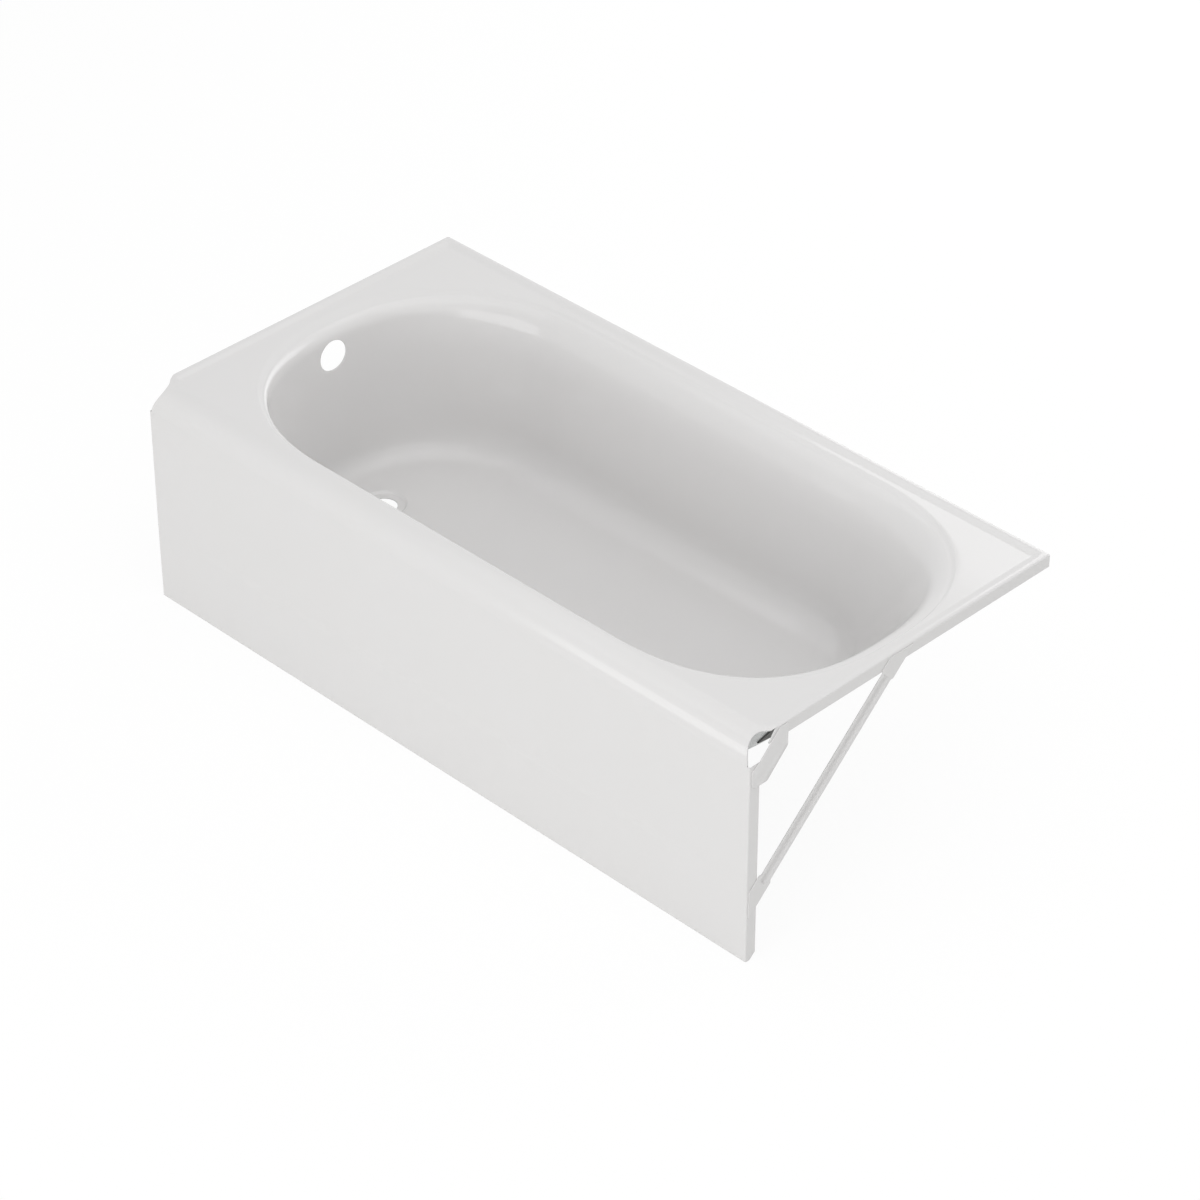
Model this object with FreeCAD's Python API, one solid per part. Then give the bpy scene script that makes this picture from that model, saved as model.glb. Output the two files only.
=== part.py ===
import FreeCAD, Part
import math
import os

# Alcove bathtub, 1524 x 760 x 470 mm, with a raised outlet at its left-hand end.
# A pressed and enamelled steel bath: the shell holds deck, basin, front roll and the turned-down
# wall flanges, and the apron is welded to it below the roll. Flat gussets and pressed diagonal
# braces tie apron and deck together at both ends. Damping pads are bonded to the underside and
# foam bearers carry the raised basin.
#
# Frame: X along the bath (drain end at -X), Y from the apron (-Y) to the back wall (+Y), Z up.
# The origin is on the floor, under the middle of the bath. Millimetres.

# ---- overall ----
BATH_LENGTH = 1524.0          # over the end brackets, for a 60 in alcove
BATH_WIDTH = 760.0            # apron face to back flange
BATH_HEIGHT = 470.0           # floor to the top of the tile bead

# ---- sheet ----
SHELL_WALL = 2.5              # enamelled steel of the shell
APRON_WALL = 2.0              # enamelled steel of the apron
BRACKET_WALL = 2.0            # gussets and braces

# ---- deck, bead, roll and flanges ----
BEAD_HEIGHT = 3.0             # tile bead above the deck
BEAD_LAND = 7.0               # flat top of the bead
BEAD_RAMP = 19.0              # slope from the bead down to the deck
ROLL_RADIUS = 50.0            # deck to apron
FLANGE_DROP = 25.0            # wall flanges, turned down
CORNER_GAP = 12.0             # front end of the end flanges, behind the roll
CORNER_LEAN = 17.0            # how far the flange end leans forward at its foot
NOTCH_DEPTH = 19.0            # deepest point of the relief notch in the roll
NOTCH_DEEPEST = 22.0          # where that is, behind the apron face
NOTCH_MOUTH = 7.0             # depth of the notch where the deck edge turns in
NOTCH_LEAD = 14.0             # run of the deck edge to there, from the end flange
NOTCH_FOOT = 5.0              # depth of the notch at the apron face

# ---- basin plan: bare deck left round the opening, and where the flat floor ends ----
DRAIN_DECK = 69.0
HEAD_DECK = 31.0
FRONT_LAND = 4.0              # bare deck behind the roll
BACK_DECK = 46.0
DRAIN_FLOOR_INSET = 134.0     # shell end to the flat floor, drain end
HEAD_FLOOR_INSET = 318.0      # shell end to the flat floor, head end
FRONT_FLOOR_INSET = 120.0
BACK_FLOOR_INSET = 170.0
RIM_REACH_DRAIN = 345.0       # length of the rounded end of the opening, drain end
RIM_REACH_HEAD = 360.0
FLOOR_REACH_DRAIN = 190.0     # the same for the floor outline
FLOOR_REACH_HEAD = 175.0
RIM_FULLNESS_DRAIN = 2.25     # 2 is an ellipse, more is squarer
RIM_FULLNESS_HEAD = 2.45
FLOOR_FULLNESS = 2.3

# ---- basin section ----
BASIN_DEPTH = 334.0           # deck to the floor at the drain
FLOOR_FALL = 0.009            # rise of the floor per mm towards the head end
DISH_DEPTH = 2.4              # gently dished ring round the opening
DISH_DRAIN = 28.0             # its width at the drain end
DISH_HEAD = 4.0
DISH_BACK = 12.0
DISH_FRONT = 1.5
DRAIN_LIP_REACH = 20.0        # deck into wall: a quarter ellipse, this far inwards
HEAD_LIP_REACH = 45.0
FRONT_LIP_REACH = 10.0
BACK_LIP_REACH = 50.0
DRAIN_LIP_DROP = 30.0         # and this far down
HEAD_LIP_DROP = 70.0
FRONT_LIP_DROP = 10.0
BACK_LIP_DROP = 100.0
DRAIN_FLOOR_FILLET = 44.0     # wall into floor
HEAD_FLOOR_FILLET = 90.0
FRONT_FLOOR_FILLET = 50.0
BACK_FLOOR_FILLET = 70.0

# ---- drain and overflow ----
DRAIN_BORE = 52.0
DRAIN_FROM_END = 218.0        # centre, from the shell's drain end
OUTLET_Y = -4.5               # line of drain and overflow
DRAIN_SEAT = 84.0             # pressed-down seat round the drain hole
DRAIN_SEAT_DEPTH = 4.0
OVERFLOW_BORE = 63.5
OVERFLOW_DROP = 58.5          # centre, below the deck

# ---- apron ----
RETURN_DEPTH = 24.5           # return flanges at the ends of the apron
RETURN_CHAMFER_Y = 14.0       # cut-off corner at the foot of each return
RETURN_CHAMFER_Z = 12.0
HEM_DEPTH = 20.0              # bottom hem, turned in
CREASE_HEIGHT = 158.0         # horizontal crease in the apron face
CREASE_STEP = 1.2             # how far the face is set back just above it, and at its foot
CREASE_BAND = 16.0            # height of the crease's slope
CREASE_FADE = 200.0           # height over which the face leans back to the crease

# ---- corner gussets: flat plates ----
GUSSET_FRONT_GAP = 4.0        # behind the apron face
GUSSET_TOP_GAP = 4.0          # below the top of the bead
GUSSET_REACH = 90.0           # rear edge, behind the apron face
GUSSET_FOOT = 99.0            # lower edge, below the top of the bead
GUSSET_HEEL_Y = 41.0          # where the lower edge turns up at 45 degrees
GUSSET_HIP_Y = 22.0           # where the upper edge leaves the return flange
GUSSET_HIP_DROP = 51.0
GUSSET_TOE = 63.0             # upper front corner, below the top of the bead
GUSSET_CLIP = 7.0             # small cut-off at its lower front corner

# ---- end braces: pressed strips ----
HEAD_BRACE_ANGLE = 43.0       # rise towards the back, degrees
DRAIN_BRACE_ANGLE = 46.0      # steeper, clear of the overflow
BRACE_SPADE_WIDTH = 41.0
BRACE_STRIP_WIDTH = 32.0
BRACE_FOOT_DROP = 327.0       # centre line at the apron's return edge, below the bead top
BRACE_FOOT_SHOULDER = 24.0    # centre-line run from the return edge to the lower shoulder
BRACE_HEAD_SHOULDER = 16.0    # and from the flange's lower edge down to the upper shoulder
BRACE_SHOULDER = 5.0          # length of each shoulder
BRACE_CHANNEL_WIDTH = 19.0    # pressed channel, at the strip's outer face
BRACE_CHANNEL_DEPTH = 5.5
BRACE_CHANNEL_SLOPE = 3.0     # how far its sides lean in
BRACE_CHANNEL_FOOT = 14.0     # its ends, measured as the shoulders are
BRACE_CHANNEL_HEAD = 18.0
BRACE_HEAD_GAP = 4.0          # below the top of the bead
BRACE_TRIM = 20.0             # reach of the box that trims the ends, across the strip

# ---- damping pads and bearers ----
BOND_GAP = 0.3                # adhesive film
PAD_THICKNESS = 3.0
PAD_TOP_DROP = 70.0           # long walls' pads, below the deck
PAD_FOOT_RISE = 60.0          # wall pads, above the floor
LONG_PAD_INSET = 430.0        # long walls' pads, in from the shell's ends
END_PAD_TOP_DROP = 125.0
DRAIN_PAD_WIDTH = 240.0
HEAD_PAD_WIDTH = 200.0
FLOOR_PAD_INSET = 69.0        # floor pads, in from the floor's long edges
FLOOR_PAD_GAP = 15.0          # between a floor pad and the bearers
BEARER_LENGTH = 110.0         # along the bath
BEARER_INSET = 49.0           # in from the floor's long edges
BEARER_CHAMFER = 12.0
DRAIN_BEARER_INSET = 151.0    # in from the floor's drain end
HEAD_BEARER_INSET = 130.0     # in from the floor's head end

# ---- how finely the basin is described ----
END_POINTS = 18               # on each rounded end of a basin outline
SIDE_STEPS = 7                # along each straight side
ARC_TURNS = (0, 12, 25, 40, 55, 70, 84)     # degrees, sections in the lip and the fillet
LIP_SECTIONS = 18.0           # depth over which the first sections lie close together
LIP_STEPS = (1.2, 1.7, 2.6, 4.2)            # multiples of it below the rim, sections in the wall
FILLET_STEPS = (2.6, 1.9, 1.4, 1.15)        # fillet radii above the floor

HALVINGS = 50                 # steps of a search
LIP_TURN_LIMIT = 0.6 * math.pi              # round the lip's ellipse

# ---- worked out ----
OVERLAP = 1.0                 # of cutting and fused bodies, past the faces they work on
OPEN_OVERRUN = 5.0            # the same for the hollow under the deck
SHELL_LENGTH = BATH_LENGTH - 2 * BRACKET_WALL
END = SHELL_LENGTH / 2
FRONT = -BATH_WIDTH / 2
BACK = BATH_WIDTH / 2
DECK_Z = BATH_HEIGHT - BEAD_HEIGHT
SEAM_Z = DECK_Z - ROLL_RADIUS
DRAIN_X = -END + DRAIN_FROM_END
CORNER_SETBACK = ROLL_RADIUS + CORNER_GAP
RIM_DRAIN = -END + DRAIN_DECK
RIM_HEAD = END - HEAD_DECK
RIM_FRONT = FRONT + ROLL_RADIUS + FRONT_LAND
RIM_BACK = BACK - BACK_DECK
FLOOR_DRAIN = -END + DRAIN_FLOOR_INSET
FLOOR_HEAD = END - HEAD_FLOOR_INSET
FLOOR_FRONT = FRONT + FRONT_FLOOR_INSET
FLOOR_BACK = BACK - BACK_FLOOR_INSET
FLOOR_Z = DECK_Z - BASIN_DEPTH
RUN_DEPTH = BASIN_DEPTH - DISH_DEPTH


def vec(x, y, z):
    return FreeCAD.Vector(x, y, z)


def box(x, y, z):
    """Box from three (low, high) ranges."""
    return Part.makeBox(x[1] - x[0], y[1] - y[0], z[1] - z[0], vec(x[0], y[0], z[0]))


def face(points):
    return Part.Face(Part.makePolygon(points + points[:1]))


def cut_all(solid, tools):
    for tool in tools:
        solid = solid.cut(tool)
    return solid


def save(shape, name):
    solid = shape.removeSplitter()
    solid = solid.Solids[0] if len(solid.Solids) == 1 else Part.makeCompound(solid.Solids)
    solid.exportStep("parts/%s.step" % name)
    print("%-22s solids %d  valid %s  volume %.0f" % (name, len(solid.Solids), solid.isValid(), solid.Volume))


# ---- the basin's surface ----
def crossing(value, low, high):
    """Where a rising function passes zero between low and high, by halving the span."""
    for _ in range(HALVINGS):
        middle = (low + high) / 2
        if value(middle) < 0:
            low = middle
        else:
            high = middle
    return (low + high) / 2


class WallProfile:
    """Section of one basin wall: quarter-elliptical lip, straight wall and round floor fillet, all
    tangent. Every point moves by offset along its normal, outwards, towards the underside."""

    def __init__(self, inset, reach, drop, fillet):
        self.inset, self.reach, self.drop, self.fillet = inset, reach, drop, fillet
        self.lip_turn = crossing(self.miss, 0.0, LIP_TURN_LIMIT)

    def slope(self, turn):
        return math.atan2(self.drop * math.sin(turn), self.reach * math.cos(turn))

    def lip_point(self, turn, offset):
        """Run and depth on the lip, where turn goes round its ellipse."""
        slope = self.slope(turn)
        return (self.reach * math.sin(turn) - offset * math.sin(slope),
                self.drop * (1 - math.cos(turn)) + offset * math.cos(slope))

    def fillet_point(self, slope, offset):
        radius = self.fillet + offset
        return self.inset - radius * math.sin(slope), RUN_DEPTH - self.fillet + radius * math.cos(slope)

    def miss(self, turn):
        """How far the lip's tangent at a turn passes from the fillet that would continue it."""
        slope = self.slope(turn)
        (run, depth), (foot_run, foot_depth) = self.lip_point(turn, 0.0), self.fillet_point(slope, 0.0)
        return (foot_run - run) * math.sin(slope) - (foot_depth - depth) * math.cos(slope)

    def run(self, depth, offset):
        """How far in from the rim the wall is at a depth below the lip's start."""
        slope = self.slope(self.lip_turn)
        lip_end, fillet_start = self.lip_point(self.lip_turn, offset), self.fillet_point(slope, offset)
        if depth <= lip_end[1]:
            turn = crossing(lambda turn: self.lip_point(turn, offset)[1] - depth, 0.0, self.lip_turn)
            return self.lip_point(turn, offset)[0]
        if depth >= fillet_start[1]:
            radius = self.fillet + offset
            down = min(1.0, (depth - RUN_DEPTH + self.fillet) / radius)
            return self.inset - radius * math.sqrt(max(0.0, 1.0 - down ** 2))
        return lip_end[0] + (depth - lip_end[1]) / math.tan(slope)

    def share(self, depth, offset):
        return self.run(depth, offset) / self.inset


DRAIN_WALL = WallProfile(FLOOR_DRAIN - RIM_DRAIN, DRAIN_LIP_REACH, DRAIN_LIP_DROP, DRAIN_FLOOR_FILLET)
HEAD_WALL = WallProfile(RIM_HEAD - FLOOR_HEAD, HEAD_LIP_REACH, HEAD_LIP_DROP, HEAD_FLOOR_FILLET)
FRONT_WALL = WallProfile(FLOOR_FRONT - RIM_FRONT, FRONT_LIP_REACH, FRONT_LIP_DROP, FRONT_FLOOR_FILLET)
BACK_WALL = WallProfile(RIM_BACK - FLOOR_BACK, BACK_LIP_REACH, BACK_LIP_DROP, BACK_FLOOR_FILLET)


def blend(start, end, share):
    return start + (end - start) * share


def outline(low, high, front, back, reach, fullness, height, tilt):
    """Closed outline with straight sides and two rounded ends, each a half superellipse.
    low and high are the X limits; reach and fullness hold the values of the drain and head ends.
    All outlines share the same curve parameters, so that a loft through them stays light."""
    half = (back - front) / 2
    middle = (back + front) / 2
    angles = [math.pi * ((step + 0.5) / END_POINTS - 0.5) for step in range(END_POINTS)]

    def rounded_end(tip, side, reach, power):
        return [(tip - side * reach * (1 - math.cos(angle) ** power),
                 middle + side * half * math.copysign(abs(math.sin(angle)) ** power, angle)) for angle in angles]

    def straight_side(start, end, y):
        return [(start + (end - start) * step / SIDE_STEPS, y) for step in range(SIDE_STEPS + 1)]

    plan = rounded_end(high, 1, reach[1], 2 / fullness[1])
    plan += straight_side(high - reach[1], low + reach[0], back)
    plan += rounded_end(low, -1, reach[0], 2 / fullness[0])
    plan += straight_side(low + reach[0], high - reach[1], front)
    return [vec(x, y, height + tilt * (x - DRAIN_X)) for x, y in plan]


def closed_curve(points):
    """Smooth closed wire through an outline, on the rim's own spacing of parameters. It is split
    in two where the drain end starts, so that no face closes on itself."""
    rim = wall_outline(0.0, 0.0)
    lengths = [a.distanceToPoint(b) for a, b in zip(rim, rim[1:] + rim[:1])]
    parameters = [sum(lengths[:index]) / sum(lengths) for index in range(len(lengths) + 1)]
    curve = Part.BSplineCurve()
    curve.interpolate(Points=points, PeriodicFlag=True, Parameters=parameters)
    split = parameters[END_POINTS + SIDE_STEPS + 1]
    return Part.Wire([curve.toShape(0.0, split), curve.toShape(split, 1.0)])


def dish_outline(offset):
    """Outer edge of the dished ring; at the front it stays behind the roll."""
    return outline(RIM_DRAIN - DISH_DRAIN, RIM_HEAD + DISH_HEAD, RIM_FRONT - DISH_FRONT, RIM_BACK + DISH_BACK,
                   (RIM_REACH_DRAIN + DISH_DRAIN, RIM_REACH_HEAD + DISH_HEAD),
                   (RIM_FULLNESS_DRAIN, RIM_FULLNESS_HEAD), DECK_Z - offset, 0.0)


def wall_outline(depth, offset):
    """Outline of the basin at a depth below the start of the lip."""
    share = [wall.share(depth, offset) for wall in (DRAIN_WALL, HEAD_WALL)]
    sunk = min(1.0, max(0.0, depth / RUN_DEPTH)) ** 2
    return outline(RIM_DRAIN + DRAIN_WALL.run(depth, offset), RIM_HEAD - HEAD_WALL.run(depth, offset),
                   RIM_FRONT + FRONT_WALL.run(depth, offset), RIM_BACK - BACK_WALL.run(depth, offset),
                   (blend(RIM_REACH_DRAIN, FLOOR_REACH_DRAIN, share[0]),
                    blend(RIM_REACH_HEAD, FLOOR_REACH_HEAD, share[1])),
                   (blend(RIM_FULLNESS_DRAIN, FLOOR_FULLNESS, share[0]),
                    blend(RIM_FULLNESS_HEAD, FLOOR_FULLNESS, share[1])),
                   DECK_Z - DISH_DEPTH - depth, FLOOR_FALL * sunk)


def section_depths(offset):
    """Depths of the loft's sections, close together where the lip and the fillet turn."""
    fillet = DRAIN_FLOOR_FILLET + offset
    turns = [math.cos(math.radians(angle)) for angle in ARC_TURNS]
    depths = [LIP_SECTIONS - (LIP_SECTIONS - offset) * turn for turn in turns]
    depths += [LIP_SECTIONS * step for step in LIP_STEPS]
    depths += [RUN_DEPTH / 2 - LIP_SECTIONS, RUN_DEPTH / 2 + LIP_SECTIONS]
    depths += [RUN_DEPTH - DRAIN_FLOOR_FILLET * step for step in FILLET_STEPS]
    depths += [RUN_DEPTH - DRAIN_FLOOR_FILLET + fillet * turn for turn in reversed(turns)]
    return sorted(depths)


def sewn_solid(faces):
    shell = Part.makeCompound(faces)
    shell.sewShape()
    solid = Part.Solid(shell if shell.ShapeType == "Shell" else shell.Shells[0])
    solid.fix(0.01, 0.01, 0.01)
    if solid.Volume < 0:
        solid.reverse()
    return solid


def basin_skin(offset, dished):
    """Faces of the basin from its rim down to its floor, and the wire of the rim."""
    sections = [closed_curve(wall_outline(depth, offset)) for depth in section_depths(offset)]
    faces = Part.makeLoft(sections, False, False, False, 5).Faces
    faces.append(Part.Face(sections[-1]))
    rim = sections[0]
    if dished:
        ring = closed_curve(dish_outline(offset))
        faces += Part.makeLoft([ring, rim], False, True).Faces
        rim = ring
    return faces, rim


def basin_layer(inner, outer, dished):
    """Solid between two offsets of the basin's surface."""
    inner_faces, inner_rim = basin_skin(inner, dished)
    outer_faces, outer_rim = basin_skin(outer, dished)
    return sewn_solid(inner_faces + outer_faces + Part.makeRuledSurface(inner_rim, outer_rim).Faces)


def basin_block(offset):
    """Solid of the basin's hollow, grown by offset towards the underside."""
    faces, rim = basin_skin(offset, False)
    return sewn_solid(faces + [Part.Face(rim)])


# ---- shell ----
def frustum(x, y, z, x_top, y_top):
    """Solid between a rectangle at z[0] and a smaller one at z[1]."""
    def ring(xs, ys, height):
        corners = [(xs[0], ys[0]), (xs[1], ys[0]), (xs[1], ys[1]), (xs[0], ys[1])]
        points = [vec(cx, cy, height) for cx, cy in corners]
        return Part.makePolygon(points + points[:1])

    return Part.makeLoft([ring(x, y, z[0]), ring(x_top, y_top, z[1])], True, True)


def deck_block(offset, overrun):
    """Deck, roll and bead as a solid block, set in by offset and longer by overrun at its open sides."""
    low = SEAM_Z - overrun
    top = DECK_Z - offset
    end = -END - overrun
    radius = ROLL_RADIUS - offset
    bend = radius * math.sqrt(0.5)
    start = vec(end, FRONT + offset, SEAM_Z)
    midway = vec(end, FRONT + ROLL_RADIUS - bend, SEAM_Z + bend)
    crest = vec(end, FRONT + ROLL_RADIUS, top)
    section = [Part.Arc(start, midway, crest).toShape()]
    corners = [crest, vec(end, BACK - offset, top), vec(end, BACK - offset, low)]
    if overrun:
        corners.append(vec(end, FRONT + offset, low))
    corners.append(start)
    section += [Part.makeLine(a, b) for a, b in zip(corners, corners[1:])]
    block = Part.Face(Part.Wire(section)).extrude(vec(-2 * end, 0, 0))
    z = (top, BATH_HEIGHT - offset)
    width = BEAD_LAND + BEAD_RAMP
    outer, back = END - offset, BACK - offset
    front = FRONT + CORNER_SETBACK
    beads = [frustum((-outer, outer), (BACK - width, back), z, (-outer, outer), (BACK - BEAD_LAND, back))]
    for side in (-1, 1):
        foot = sorted((side * (END - width), side * outer))
        land = sorted((side * (END - BEAD_LAND), side * outer))
        beads.append(frustum(foot, (front - BEAD_RAMP / 2, back), z, land, (front, back)))
    return block.fuse(beads)


def relief_notch(side):
    """Cut-out at the corner of deck and roll, as a prism through the sheet."""
    def at(inward, behind):
        return vec(side * (END - inward), FRONT + behind, SEAM_Z - OVERLAP)

    deck_end = at(0, CORNER_SETBACK)
    mouth = at(NOTCH_MOUTH, CORNER_SETBACK - NOTCH_LEAD)
    deepest = at(NOTCH_DEPTH, NOTCH_DEEPEST)
    foot = at(NOTCH_FOOT, -OVERLAP)
    outside = [foot, at(-OVERLAP, -OVERLAP), at(-OVERLAP, CORNER_SETBACK), deck_end, mouth]
    path = [Part.Arc(mouth, deepest, foot).toShape()]
    path += [Part.makeLine(a, b) for a, b in zip(outside, outside[1:])]
    return Part.Face(Part.Wire(path)).extrude(vec(0, 0, BATH_HEIGHT))


def end_flange(side):
    """Turned-down flange at one end of the deck, with its front end leaning forward."""
    x = side * END
    foot = BATH_HEIGHT - FLANGE_DROP
    front = FRONT + CORNER_SETBACK
    corners = [vec(x, front, BATH_HEIGHT), vec(x, BACK, BATH_HEIGHT), vec(x, BACK, foot),
               vec(x, front - CORNER_LEAN, foot)]
    return face(corners).extrude(vec(-side * SHELL_WALL, 0, 0))


def upright_cylinder(diameter, z):
    """Cylinder on the drain's axis, over a (low, high) range."""
    return Part.makeCylinder(diameter / 2, z[1] - z[0], vec(DRAIN_X, OUTLET_Y, z[0]))


def bath_shell():
    deck = deck_block(0.0, 0.0).cut(deck_block(SHELL_WALL, OPEN_OVERRUN))
    deck = deck.cut(box((-END, END), (0, BACK), (SEAM_Z, BATH_HEIGHT - FLANGE_DROP)))
    deck = cut_all(deck, [relief_notch(side) for side in (-1, 1)])
    deck = deck.fuse([end_flange(-1), end_flange(1)])
    opening = Part.Face(closed_curve(dish_outline(2 * SHELL_WALL))).extrude(vec(0, 0, 4 * SHELL_WALL))
    seat_z = FLOOR_Z - DRAIN_SEAT_DEPTH
    seat = upright_cylinder(DRAIN_SEAT + 2 * SHELL_WALL, (seat_z - SHELL_WALL, FLOOR_Z - SHELL_WALL / 2))
    shell = deck.cut(opening).fuse([basin_layer(0.0, SHELL_WALL, True), seat])
    recess = upright_cylinder(DRAIN_SEAT, (seat_z, DECK_Z))
    drain = upright_cylinder(DRAIN_BORE, (seat_z - DRAIN_BORE, DECK_Z))
    overflow = Part.makeCylinder(OVERFLOW_BORE / 2, DRAIN_X + END, vec(-END, OUTLET_Y, DECK_Z - OVERFLOW_DROP),
                                 vec(1, 0, 0))
    return cut_all(shell, [recess, drain, overflow])


# ---- apron ----
def apron_panel():
    """Front skin with its crease, the returns at its ends and the hem at its foot."""
    above = CREASE_HEIGHT + CREASE_BAND / 2
    below = CREASE_HEIGHT - CREASE_BAND / 2
    outer = [(0.0, SEAM_Z), (0.0, above + CREASE_FADE), (CREASE_STEP, above), (0.0, below), (CREASE_STEP, 0.0)]
    skin = [vec(-END, FRONT + y, z) for y, z in outer]
    skin += [vec(-END, FRONT + y + APRON_WALL, z) for y, z in reversed(outer)]
    inside = FRONT + (APRON_WALL + CREASE_STEP) / 2
    rear = FRONT + RETURN_DEPTH
    heel = rear - RETURN_CHAMFER_Y
    hem = FRONT + HEM_DEPTH
    hem_end = END - (hem - heel)
    strip = [vec(-END, inside, 0), vec(END, inside, 0), vec(END, heel, 0), vec(hem_end, hem, 0),
             vec(-hem_end, hem, 0), vec(-END, heel, 0)]
    pieces = [face(strip).extrude(vec(0, 0, APRON_WALL))]
    for side in (-1, 1):
        x = side * END
        flange = [vec(x, inside, 0), vec(x, heel, 0), vec(x, rear, RETURN_CHAMFER_Z), vec(x, rear, SEAM_Z),
                  vec(x, inside, SEAM_Z)]
        pieces.append(face(flange).extrude(vec(-side * APRON_WALL, 0, 0)))
    return face(skin).extrude(vec(SHELL_LENGTH, 0, 0)).fuse(pieces)


# ---- gussets and braces ----
def corner_gusset(side):
    """Flat plate on the outer faces of the deck flange and the apron's return."""
    top = GUSSET_TOP_GAP
    hip_to_top = GUSSET_HIP_DROP - top
    rise = GUSSET_REACH - GUSSET_HEEL_Y
    plan = [(GUSSET_FRONT_GAP, GUSSET_TOE), (GUSSET_HIP_Y, GUSSET_HIP_DROP), (GUSSET_HIP_Y + hip_to_top, top),
            (GUSSET_REACH, top), (GUSSET_REACH, GUSSET_FOOT - rise), (GUSSET_HEEL_Y, GUSSET_FOOT),
            (GUSSET_FRONT_GAP + GUSSET_CLIP, GUSSET_FOOT), (GUSSET_FRONT_GAP, GUSSET_FOOT - GUSSET_CLIP)]
    corners = [vec(side * END, FRONT + y, BATH_HEIGHT - drop) for y, drop in plan]
    return face(corners).extrude(vec(side * BRACKET_WALL, 0, 0))


def brace_channel(start, end, grow):
    """Pressed channel in the brace's own frame: u along it, v across, w out of the wall."""
    half = BRACE_CHANNEL_WIDTH / 2 + grow
    lean = BRACE_CHANNEL_SLOPE
    return frustum((start - grow + lean, end + grow - lean), (-half + lean, half - lean),
                   (BRACKET_WALL - BRACE_CHANNEL_DEPTH - grow, BRACKET_WALL),
                   (start - grow, end + grow), (-half, half))


def end_brace(side):
    """Diagonal strip with flat spade ends and a pressed channel between them."""
    angle = math.radians(HEAD_BRACE_ANGLE if side > 0 else DRAIN_BRACE_ANGLE)
    foot = vec(side * END, FRONT + RETURN_DEPTH, BATH_HEIGHT - BRACE_FOOT_DROP)
    crossing = (BRACE_FOOT_DROP - FLANGE_DROP) / math.sin(angle)
    low, high = BRACE_FOOT_SHOULDER, crossing - BRACE_HEAD_SHOULDER
    wide, slim = BRACE_SPADE_WIDTH / 2, BRACE_STRIP_WIDTH / 2
    reach = BRACE_FOOT_DROP
    upper = [(-reach, wide), (low, wide), (low + BRACE_SHOULDER, slim), (high - BRACE_SHOULDER, slim),
             (high, wide), (crossing + reach, wide)]
    edge = [vec(u, v, 0) for u, v in upper] + [vec(u, -v, 0) for u, v in reversed(upper)]
    strip = face(edge).extrude(vec(0, 0, BRACKET_WALL))
    start, end = BRACE_CHANNEL_FOOT, crossing - BRACE_CHANNEL_HEAD
    strip = strip.fuse(brace_channel(start, end, BRACKET_WALL)).cut(brace_channel(start, end, 0.0))
    cos, sin = math.cos(angle), math.sin(angle)
    place = FreeCAD.Matrix(0, 0, 1, END, cos, -sin, 0, foot.y, sin, cos, 0, foot.z, 0, 0, 0, 1)
    strip = strip.transformGeometry(place)
    frame = box((END - BRACE_TRIM, END + BRACE_TRIM), (FRONT + GUSSET_FRONT_GAP, BACK), (0, BATH_HEIGHT - BRACE_HEAD_GAP))
    strip = strip.common(frame)
    return strip if side > 0 else strip.mirror(vec(0, 0, 0), vec(1, 0, 0))


# ---- damping pads and bearers ----
def bearer_ranges():
    """X range of each foam bearer; the middle one is halfway between the others."""
    drain = FLOOR_DRAIN + DRAIN_BEARER_INSET
    head = FLOOR_HEAD - HEAD_BEARER_INSET - BEARER_LENGTH
    starts = {"bearer_drain_end": drain, "bearer_middle": (drain + head) / 2, "bearer_head_end": head}
    return {name: (start, start + BEARER_LENGTH) for name, start in starts.items()}


def around(middle, width):
    return (middle - width / 2, middle + width / 2)


def damping_pads():
    """Sheets bonded to the basin's underside, cut from a layer that follows it."""
    inner = SHELL_WALL + BOND_GAP
    layer = basin_layer(inner, inner + PAD_THICKNESS, False)
    long_x = (-END + LONG_PAD_INSET, END - LONG_PAD_INSET)
    long_z = (FLOOR_Z + PAD_FOOT_RISE, DECK_Z - PAD_TOP_DROP)
    end_z = (FLOOR_Z + PAD_FOOT_RISE, DECK_Z - END_PAD_TOP_DROP)
    floor_y = (FLOOR_FRONT + FLOOR_PAD_INSET, FLOOR_BACK - FLOOR_PAD_INSET)
    floor_z = (0, FLOOR_Z + PAD_FOOT_RISE)
    drain, middle, head = bearer_ranges().values()
    zones = {
        "damping_pad_front": (long_x, (FRONT, OUTLET_Y), long_z),
        "damping_pad_back": (long_x, (OUTLET_Y, BACK), long_z),
        "damping_pad_drain_end": ((-END, DRAIN_X), around(OUTLET_Y, DRAIN_PAD_WIDTH), end_z),
        "damping_pad_head_end": ((FLOOR_HEAD, END), around(OUTLET_Y, HEAD_PAD_WIDTH), end_z),
        "damping_pad_floor_drain": ((drain[1] + FLOOR_PAD_GAP, middle[0] - FLOOR_PAD_GAP), floor_y, floor_z),
        "damping_pad_floor_head": ((middle[1] + FLOOR_PAD_GAP, head[0] - FLOOR_PAD_GAP), floor_y, floor_z),
    }
    return {name: layer.common(box(*zone)) for name, zone in zones.items()}


def bearers():
    """Foam blocks from the floor of the room to the underside of the basin."""
    underside = basin_block(SHELL_WALL + BOND_GAP)
    blocks = {}
    for name, x in bearer_ranges().items():
        block = box(x, (FLOOR_FRONT + BEARER_INSET, FLOOR_BACK - BEARER_INSET), (0, DECK_Z - BASIN_DEPTH / 2))
        upright = [edge for edge in block.Edges if edge.BoundBox.ZLength > 1]
        blocks[name] = block.makeChamfer(BEARER_CHAMFER, upright).cut(underside)
    return blocks


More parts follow.
